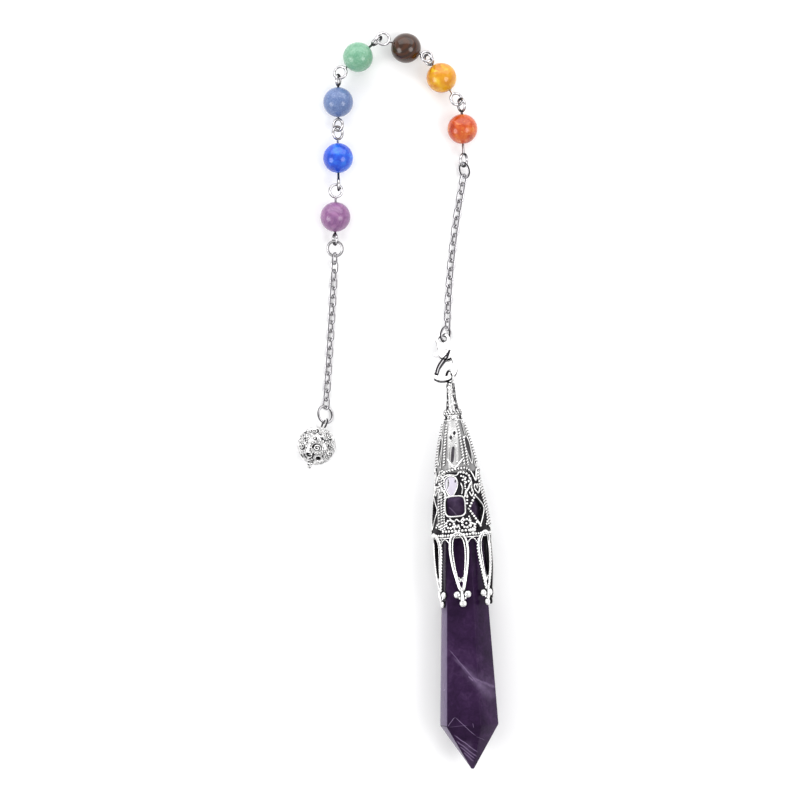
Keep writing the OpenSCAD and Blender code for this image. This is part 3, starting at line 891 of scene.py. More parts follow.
def loose_parts(mesh: bpy.types.Mesh) -> list[np.ndarray]:
    """The vertices of each separate solid in a mesh.

    Args:
        mesh: the mesh.

    Returns:
        n by 3 for each solid.
    """
    parent = np.arange(len(mesh.vertices))

    def root(i: int) -> int:
        """The first vertex of the solid that a vertex is part of.

        Args:
            i: the vertex.

        Returns:
            The first vertex.
        """
        while parent[i] != i:
            parent[i] = parent[parent[i]]
            i = parent[i]
        return i

    for edge in mesh.edges:
        a, b = root(edge.vertices[0]), root(edge.vertices[1])
        if a != b:
            parent[a] = b
    roots = np.array([root(i) for i in range(len(parent))])
    at = vertices(mesh)
    return [at[roots == r] for r in dict.fromkeys(roots)]


def frame_of(points: np.ndarray) -> tuple[np.ndarray, np.ndarray]:
    """Where a solid lies.

    Args:
        points: its vertices.

    Returns:
        Its middle, and its long, middle and short axes as rows.
    """
    middle = points.mean(0)
    axes = np.linalg.svd(points - middle, full_matrices=False)[2]
    low, high = ((points - middle) @ axes.T).min(0), ((points - middle) @ axes.T).max(0)
    if np.linalg.det(axes) < 0:
        axes[2] *= -1
        low, high = low * [1, 1, -1], high * [1, 1, -1]
    return middle + (low + high) / 2 @ axes, axes


def dress(
    piece: bpy.types.Object,
    material: bpy.types.Material,
    body: str = PENDANT,
    replaces: Sequence[str] = (),
) -> bpy.types.Object:
    """Gives a piece its material and the body that it rides on.

    Args:
        piece: the piece.
        material: its finish.
        body: the CAD body that it moves with.
        replaces: CAD nodes that it stands for.

    Returns:
        The piece.
    """
    piece.data.materials.clear()
    piece.data.materials.append(material)
    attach(piece, body)
    if replaces:
        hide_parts(*replaces)
    LOG.info("%s: %d faces", piece.name, len(piece.data.polygons))
    return piece


# Repeats by Geometry Nodes


class Recipe:
    """A Geometry Nodes tree with named sizes."""

    def __init__(self, name: str, **sizes: float) -> None:
        """Starts a tree that takes a geometry, a metal and its sizes.

        Args:
            name: the tree's name.
            sizes: its sizes.
        """
        self.tree = bpy.data.node_groups.new(name, "GeometryNodeTree")
        face = self.tree.interface
        face.new_socket(name="Geometry", in_out="INPUT", socket_type="NodeSocketGeometry")
        face.new_socket(name="Geometry", in_out="OUTPUT", socket_type="NodeSocketGeometry")
        face.new_socket(name="Metal", in_out="INPUT", socket_type="NodeSocketMaterial")
        for size, value in sizes.items():
            face.new_socket(name=size, in_out="INPUT", socket_type="NodeSocketFloat").default_value = value
        self.start = self.tree.nodes.new("NodeGroupInput")
        self.sizes = sizes

    def node(
        self, kind: str, settings: dict[str, object], inputs: dict[object, object], output: object = 0
    ) -> Socket:
        """Adds a node.

        Args:
            kind: the node's type.
            settings: its own settings, set first.
            inputs: values, or sockets to link, by name or number.
            output: the socket that is handed back, by name or number.

        Returns:
            That socket.
        """
        return add_node(self.tree, kind, settings, inputs).outputs[output]

    def size(self, name: str) -> Socket:
        """The tree's input of that name."""
        return self.start.outputs[name]

    def value(self, operation: str, *values: object) -> Socket:
        """A Math node's result."""
        return self.node("ShaderNodeMath", {"operation": operation}, dict(enumerate(values)))

    def faded(self, value: Socket, low: float, high: float) -> Socket:
        """A value stretched to 0 at low and 1 at high, held at both ends."""
        ends = {"Value": value, "From Min": low, "From Max": high}
        return self.node("ShaderNodeMapRange", {"clamp": True}, ends)

    def place(self, axis: int) -> Socket:
        """Where each point lies along X, Y or Z."""
        return self.node("ShaderNodeSeparateXYZ", {}, {0: self.node("GeometryNodeInputPosition", {}, {})}, axis)

    def triple(self, x: object, y: object = 0.0, z: object = 0.0) -> Socket:
        """A vector."""
        return self.node("ShaderNodeCombineXYZ", {}, {0: x, 1: y, 2: z})

    def named(self, name: str, kind: str) -> Socket:
        """A value that the points carry."""
        return self.node("GeometryNodeInputNamedAttribute", {"data_type": kind}, {"Name": name})

    def circle(self, corners: int, width: Socket) -> Socket:
        """A circle as a curve."""
        values = {"Resolution": corners, "Radius": self.value("DIVIDE", width, 2.0)}
        return self.node("GeometryNodeCurvePrimitiveCircle", {}, values)

    def hollowed(self, geometry: Socket, value: Socket) -> Socket:
        """A geometry that carries a value as its painted shade."""
        settings = {"data_type": "FLOAT", "domain": "POINT"}
        values = {"Geometry": geometry, "Name": "hollow", "Value": value}
        return self.node("GeometryNodeStoreNamedAttribute", settings, values)

    def spread(self, instance: Socket, **more: object) -> Socket:
        """Copies of one thing at the points, each turned its own way."""
        values = {"Points": self.size("Geometry"), "Instance": instance, "Rotation": self.named("turn", "QUATERNION")}
        return self.node("GeometryNodeInstanceOnPoints", {}, {**values, **more})

    def close(self, geometry: Socket) -> "Recipe":
        """Ends the tree: instances made real, shaded smooth, with their material.

        Args:
            geometry: what the tree has made.

        Returns:
            The recipe.
        """
        real = self.node("GeometryNodeRealizeInstances", {}, {0: geometry})
        soft = self.node("GeometryNodeSetShadeSmooth", {}, {0: real})
        metal = self.node("GeometryNodeSetMaterial", {}, {"Geometry": soft, "Material": self.size("Metal")})
        self.tree.links.new(metal, self.tree.nodes.new("NodeGroupOutput").inputs[0])
        return self

    def run(self, host: bpy.types.Object, metal: bpy.types.Material, **sizes: float) -> bpy.types.Object:
        """Runs the tree on an object and keeps the result as its mesh.

        Args:
            host: the object with the points or path.
            metal: the material.
            sizes: the tree's named sizes.

        Returns:
            The object.
        """
        modifier = host.modifiers.new("recipe", "NODES")
        modifier.node_group = self.tree
        names = {
            item.name: item.identifier
            for item in self.tree.interface.items_tree
            if item.item_type == "SOCKET" and item.in_out == "INPUT"
        }
        modifier[names["Metal"]] = metal
        for name, value in {**self.sizes, **sizes}.items():
            modifier[names[name]] = value
        return settle(host)


def points_object(
    name: str, points: np.ndarray, edges: Sequence[Sequence[int]] = (), **values: np.ndarray
) -> bpy.types.Object:
    """An object of bare points or paths that carries values.

    Args:
        name: its name.
        points: n by 3.
        edges: pairs of points.
        values: one number or quaternion a point, by name.

    Returns:
        The object, in the scene.
    """
    mesh = bpy.data.meshes.new(name)
    mesh.from_pydata(np.asarray(points, float), edges, [])
    for key, value in values.items():
        value = np.asarray(value, np.float32)
        kind = "FLOAT" if value.ndim == 1 else "QUATERNION"
        mesh.attributes.new(key, kind, "POINT").data.foreach_set("value", value.ravel())
    made = bpy.data.objects.new(name, mesh)
    bpy.context.scene.collection.objects.link(made)
    return made


def granule_recipe() -> Recipe:
    """Small balls at points, each of its own size, pressed a little along its own outer side, with painted shade from
    a little above their middle down.

    Returns:
        The recipe.
    """
    recipe = Recipe("granules", Height=0.85)
    ball = recipe.node("GeometryNodeMeshIcoSphere", {}, {"Radius": 1.0, "Subdivisions": 2})
    size = recipe.named("size", "FLOAT")
    scale = recipe.triple(size, size, recipe.value("MULTIPLY", size, recipe.size("Height")))
    return recipe.close(recipe.spread(recipe.hollowed(ball, recipe.faded(recipe.place(2), 0.55, 0.1)), Scale=scale))


def link_recipe() -> Recipe:
    """Oval links of round wire at points, each turned its own way.

    Returns:
        The recipe.
    """
    recipe = Recipe("links", Length=2.68 * MM, Width=1.8 * MM, Wire=0.4 * MM)
    length, width, wire = (recipe.size(name) for name in ("Length", "Width", "Wire"))
    middle = recipe.circle(28, recipe.value("SUBTRACT", width, wire))
    straight = recipe.value("DIVIDE", recipe.value("SUBTRACT", length, width), 2.0)
    shift = recipe.triple(recipe.value("MULTIPLY", recipe.value("SIGN", recipe.place(0)), straight))
    oval = recipe.node("GeometryNodeSetPosition", {}, {"Geometry": middle, "Offset": shift})
    link = recipe.node("GeometryNodeCurveToMesh", {}, {0: oval, 1: recipe.circle(10, wire)})
    return recipe.close(recipe.spread(link))


def rope_recipe() -> Recipe:
    """A flat wire twisted along each path, so that it looks like a rope, with painted shade in bands twice each turn
    of the twist.

    Returns:
        The recipe.
    """
    recipe = Recipe("rope", Thickness=0.3 * MM, Pitch=0.9 * MM, Flatness=0.5)
    path = recipe.node("GeometryNodeMeshToCurve", {}, {0: recipe.size("Geometry")})
    run = recipe.node("GeometryNodeSplineParameter", {}, {}, "Length")
    tilt = recipe.value("MULTIPLY", recipe.value("DIVIDE", run, recipe.size("Pitch")), 2 * math.pi)
    turned = recipe.node("GeometryNodeSetCurveTilt", {}, {"Curve": path, "Tilt": tilt})
    wave = recipe.value("COSINE", recipe.value("MULTIPLY", tilt, 2.0))
    flat = recipe.triple(1.0, recipe.size("Flatness"), 1.0)
    section = recipe.circle(8, recipe.size("Thickness"))
    pressed = recipe.node("GeometryNodeTransform", {}, {"Geometry": section, "Scale": flat})
    twist_shaded = recipe.hollowed(turned, recipe.faded(wave, 0.2, 0.9))
    return recipe.close(recipe.node("GeometryNodeCurveToMesh", {}, {0: twist_shaded, 1: pressed, "Fill Caps": True}))


def quaternions(ups: np.ndarray, alongs: np.ndarray | None = None) -> np.ndarray:
    """Turns that bring Z onto each up and, as near as may be, X onto each along.

    Args:
        ups: n by 3.
        alongs: n by 3, or none for any.

    Returns:
        n by 4.
    """
    made = []
    for i, up in enumerate(ups):
        z = Vector(up).normalized()
        x = Vector(alongs[i]) if alongs is not None else z.orthogonal()
        y = z.cross(x).normalized()
        made.append(tuple(Matrix((y.cross(z), y, z)).transposed().to_quaternion()))
    return np.array(made)


# The cap


@dataclass(frozen=True)
class Stroke:
    """A line of relief: millimetres across from a panel's middle and down from the cap's top."""

    line: Outline
    half: float = 0.14
    rise: float = 0.2
    kind: Line = Line.WIRE
    closed: bool = False
    mirrored: bool = False


@dataclass(frozen=True)
class Opening:
    """A pierced opening: its outline as Stroke has it."""

    line: Outline
    mirrored: bool = False


def rounded(cx: float, cy: float, w: float, h: float, lean: float = 0.0, square: float = 2.6) -> Outline:
    """A soft square or oval outline.

    Args:
        cx: its middle across, in mm.
        cy: its middle down, in mm.
        w: its width.
        h: its height.
        lean: how far its foot goes sideways.
        square: 2 for an oval, more for a squarer one.

    Returns:
        Its points.
    """
    made = []
    for a in around(20):
        c, s = math.cos(a), math.sin(a)
        x = math.copysign(abs(c) ** (2 / square), c) * w / 2
        y = math.copysign(abs(s) ** (2 / square), s) * h / 2
        made.append((cx + x + lean * y / h, cy + y))
    return tuple(made)


def drop(cx: float, cy: float, w: float, h: float) -> Outline:
    """A drop outline, broad above and narrow below.

    Args:
        cx: its middle across, in mm.
        cy: its middle down, in mm.
        w: its width.
        h: its height.

    Returns:
        Its points.
    """
    made = []
    for a in around(24):
        y = -math.cos(a)
        x = math.sin(a) * (0.5 - 0.28 * (y + 1) / 2) * 1.12
        made.append((cx + x * w, cy + y * h / 2))
    return tuple(made)


WIDE_OPENINGS = (
    Opening(rounded(0.4, 9.9, 0.5, 0.75, 0, 2)),
    Opening(rounded(-0.3, 10.75, 0.5, 0.85, 0, 2)),
    Opening(rounded(-0.12, 14.1, 0.72, 3.2, -0.4, 3)),
    Opening(drop(-0.85, 20.4, 3.0, 3.7)),
    Opening(rounded(-0.2, 24.4, 3.85, 3.75, 0, 4)),
    Opening(rounded(2.7, 27.4, 0.5, 0.8, 0, 2), True),
)
NARROW_OPENINGS = (
    Opening(drop(0, 13.4, 1.35, 5.2)),
    Opening(rounded(1.1, 19.4, 0.5, 1.1, 0.3, 2), True),
    Opening(((-1.0, 22.9), (0.8, 25.1), (-1.0, 28.1), (-2.75, 25.1))),
    Opening(rounded(1.7, 29.0, 0.45, 0.6, 0, 2), True),
)
WIDE_STROKES = (
    Stroke(rounded(0.4, 9.9, 0.78, 1.05, 0, 2), 0.12, 0.2, closed=True),
    Stroke(rounded(-0.3, 10.75, 0.8, 1.15, 0, 2), 0.12, 0.2, closed=True),
    Stroke(rounded(0.62, 12.0, 0.42, 0.5, 0, 2), 0.13, 0.24, closed=True),
    Stroke(((-0.7, 12.6), (-0.9, 14.2), (-0.95, 15.4)), 0.14, 0.24),
    Stroke(((0.7, 12.5), (0.78, 14.0), (0.7, 15.6)), 0.3, 0.3),
    Stroke(((-1.2, 15.0), (-0.5, 16.0), (0.1, 16.8), (0.9, 16.1), (1.7, 15.2)), 0.2, 0.3),
    Stroke(((-0.75, 15.8), (-0.1, 16.3), (0.5, 16.4), (1.1, 15.7)), 0.13, 0.24),
    Stroke(((1.0, 8.0), (1.4, 10.0), (1.8, 13.5), (2.1, 16.3)), 0.3, 0.3, Line.ROPE, mirrored=True),
    Stroke(((2.1, 10.6), (2.55, 13.5), (2.85, 16.5)), 0.3, 0.3, Line.ROPE),
    Stroke(((-1.75, 8.0), (-2.1, 10.0), (-2.6, 13.5), (-3.1, 16.6)), 0.13, 0.2),
    Stroke(
        ((-3.3, 18.9), (-2.6, 17.9), (-1.5, 17.35), (-0.1, 17.1), (1.2, 16.95), (2.3, 17.0), (3.2, 17.6)),
        0.38, 0.4, Line.ROPE,
    ),
    Stroke(((-2.9, 18.9), (-1.9, 18.2), (-0.8, 18.1), (0.4, 18.3), (0.9, 17.7)), 0.14, 0.24),
    Stroke(drop(-0.85, 20.4, 3.3, 4.1), 0.15, 0.2, closed=True),
    Stroke(rounded(-0.2, 24.4, 4.15, 4.05, 0, 4), 0.17, 0.24, closed=True),
    Stroke(((2.35, 22.7), (2.25, 24.0)), 0.25, 0.3, Line.BEADS),
    Stroke(((1.9, 22.5), (2.1, 21.7), (2.7, 21.0), (2.9, 20.5), (3.35, 19.9)), 0.23, 0.38, mirrored=True),
    Stroke(((1.25, 17.7), (2.0, 17.9), (2.75, 18.3), (3.1, 18.95), (2.85, 19.6), (2.2, 19.8)), 0.29, 0.36, Line.BEADS),
    Stroke(((1.35, 18.5), (1.95, 18.75), (2.3, 19.1), (1.6, 19.3)), 0.24, 0.32, Line.BEADS),
    Stroke(((1.25, 20.0), (1.5, 20.9), (1.3, 21.9)), 0.15, 0.28),
    Stroke(((-1.3, 26.8), (-0.6, 27.5), (0, 27.0), (0.6, 27.5), (1.3, 26.8)), 0.16, 0.28),
    Stroke(((-0.55, 28.9), (-0.3, 28.1), (0, 28.7), (0.3, 28.1), (0.55, 28.9)), 0.16, 0.28),
    Stroke(((-3.0, 29.3), (3.0, 29.3)), 0.3, 0.3, Line.BEADS),
    Stroke(((2.75, 28.4), (3.3, 27.9), (3.5, 28.6), (3.1, 29.0)), 0.24, 0.3, Line.BEADS, mirrored=True),
)
NARROW_STROKES = (
    Stroke(drop(0, 13.4, 1.65, 5.6), 0.11, 0.2, closed=True),
    Stroke(((0, 7.6), (0, 8.8), (0, 10.2)), 0.13, 0.22),
    Stroke(((-1.05, 17.4), (-0.5, 18.4), (0, 19.6), (0.5, 18.4), (1.05, 17.4)), 0.18, 0.3),
    Stroke(((-0.2, 22.0), (-0.75, 21.2), (-0.6, 20.4), (-0.1, 20.4), (0.0, 21.0)), 0.17, 0.3, mirrored=True),
    Stroke(((-1.0, 22.5), (-2.0, 23.7), (-3.0, 25.1)), 0.28, 0.34, Line.BEADS),
    Stroke(((-3.0, 25.1), (-2.0, 26.9), (-1.0, 28.6)), 0.28, 0.34, Line.BEADS),
    Stroke(((-1.0, 22.5), (0.1, 23.7), (1.05, 25.1), (0.1, 26.9), (-1.0, 28.6)), 0.15, 0.2),
    Stroke(((1.5, 20.9), (1.3, 21.9), (1.8, 22.6), (2.1, 21.9)), 0.17, 0.3, mirrored=True),
    Stroke(((1.0, 28.4), (1.5, 27.8), (2.1, 28.1), (2.3, 28.8)), 0.26, 0.3, Line.BEADS, mirrored=True),
)
SPARSE_BORDER = (
    Stroke(((-0.3, 19.2), (-0.35, 21.0), (-0.2, 22.4)), 0.2, 0.28, Line.BEADS),
    Stroke(((-0.35, 26.6), (-0.1, 27.6), (-0.3, 28.6)), 0.2, 0.28, Line.BEADS),
    Stroke(((-0.35, 29.3), (0.4, 29.3), (0.05, 29.95)), 0.38, 0.5, Line.BEADS),
    Stroke(((0.7, 18.6), (1.1, 20.0), (0.9, 21.6)), 0.14, 0.26),
)
DENSE_BORDER = (
    Stroke(((0.0, 17.4), (0.1, 20.0), (0.3, 22.8), (0.2, 25.0), (0.35, 28.8)), 0.22, 0.28, Line.BEADS),
    Stroke(((-0.5, 17.0), (-0.5, 21.0), (-0.35, 25.0), (-0.3, 28.8)), 0.3, 0.26, Line.ROPE),
    Stroke(((-1.15, 17.8), (-1.25, 21.0), (-1.15, 25.0), (-1.05, 28.8)), 0.3, 0.26, Line.ROPE),
)


@dataclass
class Bell:
    """The bell's own surface, and the places on it."""

    top: Place = (10.4543 * MM, 3.19443 * MM, 6.17 * MM)
    heading: float = math.radians(-85.7)
    length: float = 30.6 * MM
    rim: float = 5.8 * MM
    wall: float = 0.5 * MM
    outline: Outline = (
        (0, 0.15), (0.1, 0.17), (0.17, 0.23), (0.22, 0.3), (0.28, 0.37), (0.37, 0.5),
        (0.47, 0.61), (0.58, 0.71), (0.69, 0.8), (0.8, 0.9), (0.9, 0.96), (1, 1),
    )
    first_panel: float = 98.8
    sectors: int = 6

    def __post_init__(self) -> None:
        """Works out the bell's axes and its smoothed outline."""
        h = self.heading
        self.origin = np.array(self.top)
        self.down = np.array([math.cos(h), math.sin(h), 0])
        self.right = np.array([-math.sin(h), math.cos(h), 0])
        shares = np.linspace(0, 1, 400)
        rough = np.interp(shares, *np.array(self.outline).T)
        padded = np.pad(rough, 14, mode="reflect", reflect_type="odd")
        self._radii = np.convolve(padded, np.ones(29) / 29, "valid") * self.rim
        self._shares = shares * self.length

    def radius(self, s: np.ndarray) -> np.ndarray:
        """The outer radius at distances down the bell."""
        return np.interp(s, self._shares, self._radii)

    def out(self, turn: np.ndarray) -> np.ndarray:
        """Directions away from the axis at azimuths in radians."""
        turn = np.asarray(turn, float)
        return np.cos(turn)[..., None] * self.right + np.sin(turn)[..., None] * np.array([0.0, 0.0, 1.0])

    def at(self, turn: np.ndarray, s: np.ndarray, radius: np.ndarray) -> np.ndarray:
        """Points at azimuths, distances down and distances from the axis."""
        s, radius = np.asarray(s, float), np.asarray(radius, float)
        return self.origin + s[..., None] * self.down + radius[..., None] * self.out(turn)

    def drawn(self, line: np.ndarray, middle: float, lift: float = 0.0) -> tuple[np.ndarray, np.ndarray]:
        """Turns a drawing on the bell into points.

        Args:
            line: metres across from a panel's middle and down from the top.
            middle: the panel's azimuth in degrees.
            lift: height over the surface.

        Returns:
            The points, and their outer sides.
        """
        s = line[:, 1]
        r = self.radius(s)
        turn = math.radians(middle) - line[:, 0] / r
        return self.at(turn, s, r + lift), self.out(turn)

    def unrolled(self, points: np.ndarray) -> tuple[np.ndarray, np.ndarray, np.ndarray]:
        """Azimuth in radians, distance down and distance from the axis of points."""
        rel = points - self.origin
        x, y = rel @ self.right, rel[:, 2]
        return np.arctan2(y, x), rel @ self.down, np.hypot(x, y)

    def panels(self, first: float) -> list[float]:
        """Azimuths of the three panels that start at one."""
        return [first + 120 * k for k in range(3)]


# The wide and narrow panels and the two kinds of border between them, each three times round the bell
PANELS = ((0, WIDE_STROKES), (-60, NARROW_STROKES), (-30, SPARSE_BORDER), (30, DENSE_BORDER))
PRONG_SIDE = (
    (0.38, 0.02), (0.72, 0.075), (0.94, 0.17), (1, 0.29), (0.9, 0.47), (0.68, 0.68), (0.42, 0.86), (0.18, 0.98),
)
PRONG_CURL = ((0.1, 0.93), (0.42, 0.83), (0.36, 0.76), (0.12, 0.78), (0.16, 0.83))


@dataclass(frozen=True)
class TipBall:
    """A ball at a prong's tip: millimetres across and down from the tip, share of the full size, and lift in mm."""

    across: float
    down: float
    share: float
    lift: float


TIP_BALLS = (
    TipBall(-1.08, 0.55, 0.98, 0.1),
    TipBall(1.08, 0.55, 0.98, 0.1),
    TipBall(0, 2.35, 1.0, 0.1),
    TipBall(-0.55, 1.3, 0.34, 0.25),
    TipBall(0.55, 1.3, 0.34, 0.25),
)


@dataclass
class Cap:
    """The openwork cap: bell, ornament, prongs with balls at their tips, and loop."""

    bell: Bell = field(default_factory=Bell)
    turns: int = 300
    rows: int = 240
    dents: int = 170
    dent_depth: float = 0.08 * MM
    plug_reach: tuple[float, float] = (-1.1 * MM, 0.8 * MM)
    cone_end: float = 5.4 * MM
    dark_from: float = 16.5 * MM
    # Down this stretch the inner wall gets the pale coat and painted glow.
    lit_part: tuple[float, float] = (17.0 * MM, 22.7 * MM)
    collar_at: float = 5.7 * MM
    knobs_at: float = 6.75 * MM
    last_row_at: float = 30.1 * MM
    rosette_at: tuple[float, float] = (0.25, 27.9)
    rosette_apart: float = 1.62
    rosette_radii: tuple[float, float] = (0.82, 0.8)
    loop_radius: float = 1.3 * MM
    loop_wire: float = 0.25 * MM
    loop_turn: float = math.radians(60)
    prong_length: float = 11.6 * MM
    prong_root: float = 29.8 * MM
    prong_half: float = 1.57 * MM
    prong_inset: float = 0.4 * MM
    prong_front: float = 0.34 * MM
    prong_bow: float = 0.12 * MM
    prong_tuck: float = 0.18 * MM
    tip_ball: float = 0.75 * MM
    metal: Silver = Silver("cap_silver")

    def build(self) -> list[bpy.types.Object]:
        """Makes the cap's pieces.

        Returns:
            The pieces.
        """
        self.finish = self.metal.material()
        self.granules: list[tuple[np.ndarray, np.ndarray, float]] = []
        relief, ropes = Pile(), []
        # Ornament wires and balls get painted shade away from their outer side.
        relief.edge = PaintedShade.FOOT
        for offset, strokes in PANELS:
            for middle in self.bell.panels(self.bell.first_panel + offset):
                for stroke in strokes:
                    self._lay(stroke, middle, relief, ropes)
        self._rosettes()
        self._bands(relief, ropes)
        shell = self._shell()
        ornament = self._ornament(relief, ropes)
        self._paint_shade(shell, ornament)
        pieces = (shell, ornament, self._prongs())
        return [dress(piece, self.finish, replaces=["cap"]) for piece in pieces]

    def _lay(self, stroke: Stroke, middle: float, relief: Pile, ropes: list[np.ndarray]) -> None:
        """Lays one line of relief on the bell.

        Args:
            stroke: the line.
            middle: its panel's azimuth in degrees.
            relief: where wires go.
            ropes: where the paths of ropes go.
        """
        for sign in (1, -1) if stroke.mirrored else (1,):
            line = smooth_line(np.array(stroke.line) * [sign * MM, MM], 3 if stroke.closed else 8, stroke.closed)
            half, rise = stroke.half * MM, stroke.rise * MM
            if stroke.kind is Line.BEADS:
                spots = even_line(line, half * 2.15, stroke.closed)
                points, out = self.bell.drawn(spots, middle, rise * 0.35)
                self.granules.extend((p, o, half) for p, o in zip(points, out))
            elif stroke.kind is Line.ROPE:
                points, out = self.bell.drawn(even_line(line, 0.06 * MM), middle, rise * 0.5)
                ropes.append(points)
            else:
                points, out = self.bell.drawn(even_line(line, 0.16 * MM, stroke.closed), middle, rise * 0.25)
                relief.tube(points, out, half, rise * 0.8, sides=7, closed=stroke.closed)

    def _rosettes(self) -> None:
        """Rings of granules below the wide panels."""
        petals = 9
        a = around(petals)
        flower = np.vstack([np.column_stack([np.cos(a), np.sin(a)]) * self.rosette_radii, [[0, 0]]])
        for middle in self.bell.panels(self.bell.first_panel):
            for shift in (-self.rosette_apart, self.rosette_apart):
                spots = (flower + self.rosette_at + [shift, 0]) * MM
                points, out = self.bell.drawn(spots, middle, 0.12 * MM)
                self.granules.extend(zip(points, out, [0.29 * MM] * petals + [0.24 * MM]))

    def _ring_path(self, s: float, lift: float, steps: int) -> tuple[np.ndarray, np.ndarray]:
        """A circle round the bell, and its outer side."""
        a, at = around(steps), np.full(steps, s)
        return self.bell.at(a, at, self.bell.radius(at) + lift), self.bell.out(a)

    def _bands(self, relief: Pile, ropes: list[np.ndarray]) -> None:
        """The collar with its knobs, the rows of granules and the rim.

        Args:
            relief: where wires go.
            ropes: where the paths of ropes go.
        """
        for s, lift in ((self.collar_at - 0.22 * MM, 0.06 * MM), (self.collar_at + 0.22 * MM, 0.1 * MM)):
            path, _ = self._ring_path(s, lift, 160)
            ropes.append(np.vstack([path, path[:2]]))
        for s in (self.knobs_at - 0.35 * MM, self.knobs_at + 0.55 * MM):
            path, out = self._ring_path(s, 0.04 * MM, 72)
            relief.tube(path, out, 0.12 * MM, closed=True)
        knobs = np.radians(self.bell.first_panel - 70 + 30 * np.arange(12))
        s = np.full(12, self.knobs_at)
        points = self.bell.at(knobs, s, self.bell.radius(s) + 0.25 * MM)
        self.granules.extend(zip(points, self.bell.out(knobs), [0.44 * MM, 0.2 * MM] * 6))
        row = 58
        path, out = self._ring_path(self.last_row_at, 0.08 * MM, row)
        sizes = np.random.default_rng(3).uniform(0.24, 0.38, row) * MM
        self.granules.extend(zip(path, out, sizes))
        path, out = self._ring_path(self.bell.length, -0.15 * MM, 120)
        relief.tube(path, out, 0.14 * MM, 0.18 * MM, closed=True)
        top = self.bell.origin
        relief.ball(top + self.bell.down * 0.25 * MM, 0.86 * MM, self.bell.down, 0.7)
        axis = math.cos(self.loop_turn) * self.bell.right + math.sin(self.loop_turn) * np.array([0, 0, 1.0])
        normal = np.cross(axis, self.bell.down)
        relief.loop(top - self.bell.down * self.loop_radius, normal, self.loop_radius, self.loop_wire)

    def _shell(self) -> bpy.types.Object:
        """The bell's wall, hammered near its top and pierced below.

        Returns:
            The wall.
        """
        ss, tt = np.meshgrid(np.linspace(0, self.bell.length, self.rows), around(self.turns), indexing="ij")
        outer_r = self.bell.radius(ss)
        rng = np.random.default_rng(7)
        dents = np.zeros_like(outer_r)
        for _ in range(self.dents):
            at, a, width = rng.uniform(0, self.cone_end), rng.uniform(0, 2 * math.pi), rng.uniform(0.12, 0.24) * MM
            gap = np.hypot(ss - at, (np.angle(np.exp(1j * (tt - a)))) * outer_r)
            dents -= self.dent_depth * np.exp(-((gap / width) ** 2)) * rng.uniform(0.4, 1)
        outer_r = outer_r + np.clip(dents, -0.12 * MM, 0)
        inner_r = np.maximum(self.bell.radius(ss) - self.bell.wall, 0.28 * MM)
        outer, inner = (self.bell.at(tt, ss, r).reshape(-1, 3) for r in (outer_r, inner_r))
        walls = np.roll(wrapped(self.rows, self.turns)[:, ::-1], 1, axis=1)
        j = np.arange(self.turns)
        k = (j + 1) % self.turns
        far, last = self.rows * self.turns, (self.rows - 1) * self.turns
        head = np.column_stack([j, far + j, far + k, k])
        foot = np.column_stack([last + j, last + k, far + last + k, far + last + j])
        pile = Pile()
        pile.add(np.vstack([outer, inner]), walls, walls[:, ::-1] + far, head, foot)
        shell = pile.mesh("cap_bell")
        pierce(shell, self._plugs())
        shell.data.shade_smooth()
        shell.data.set_sharp_from_angle(angle=math.radians(50))
        return shell

    def _plugs(self) -> Pile:
        """The plugs of all the openings that pierce the bell.

        Returns:
            The plugs.
        """
        pile = Pile()
        for offset, openings in ((0, WIDE_OPENINGS), (-60, NARROW_OPENINGS)):
            for middle in self.bell.panels(self.bell.first_panel + offset):
                for opening in openings:
                    self._plug(pile, np.array(opening.line) * MM, middle)
                    if opening.mirrored:
                        self._plug(pile, np.array(opening.line)[::-1] * [-MM, MM], middle)
        return pile

    def _plug(self, pile: Pile, line: np.ndarray, middle: float) -> None:
        """Adds the plug of one opening: a smooth outline, or straight sides if it has four corners.

        Args:
            pile: where it goes.
            line: metres across and down.
            middle: the panel's azimuth in degrees.
        """
        curved = len(line) > 4
        edge = even_line(smooth_line(line, 4, True), 0.12 * MM, True) if curved else even_line(line, 0.2 * MM, True)
        area = np.sum(edge[:, 0] * np.roll(edge[:, 1], -1) - np.roll(edge[:, 0], -1) * edge[:, 1])
        if area > 0:
            edge = edge[::-1]
        pile.plug(*(self.bell.drawn(edge, middle, lift)[0] for lift in self.plug_reach))

    def _shadow(
        self, ornament: bpy.types.Object, turn: np.ndarray, s: np.ndarray, lift: np.ndarray
    ) -> np.ndarray:
        """How deep points of the wall lie in the ornament, from a map of its heights round the bell, for painted
        shadow.

        Args:
            ornament: what stands on the wall.
            turn: azimuths of the points.
            s: their distances down the bell.
            lift: their heights over its surface.

        Returns:
            A value from 0 to 1 for each point.
        """
        cell, window = 0.06 * MM, 4
        shape = (int(self.bell.length / cell) + 4, int(2 * math.pi * self.bell.rim / cell))

        def cells(turn: np.ndarray, s: np.ndarray) -> tuple[np.ndarray, np.ndarray]:
            """Rows and columns of the map."""
            column = ((turn / (2 * math.pi)) % 1 * shape[1]).astype(int) % shape[1]
            return np.clip((s / cell).astype(int), 0, shape[0] - 1), column

        heights = np.zeros(shape)
        on_turn, on_s, on_r = self.bell.unrolled(vertices(ornament.data))
        np.maximum.at(heights, cells(on_turn, on_s), on_r - self.bell.radius(on_s))
        for axis in (0, 1):
            heights = sum(np.roll(heights, k, axis) for k in range(-window, window + 1)) / (2 * window + 1)
        return np.clip((heights[cells(turn, s)] - lift) / (0.09 * MM), 0, 1)

    def _paint_shade(self, shell: bpy.types.Object, ornament: bpy.types.Object) -> None:
        """Stores painted shade on the wall, and where its inner side gets the pale coat and painted glow.

        Args:
            shell: the wall.
            ornament: what stands on it.
        """
        turn, s, r = self.bell.unrolled(vertices(shell.data))
        lift = r - self.bell.radius(s)
        start, end = self.lit_part
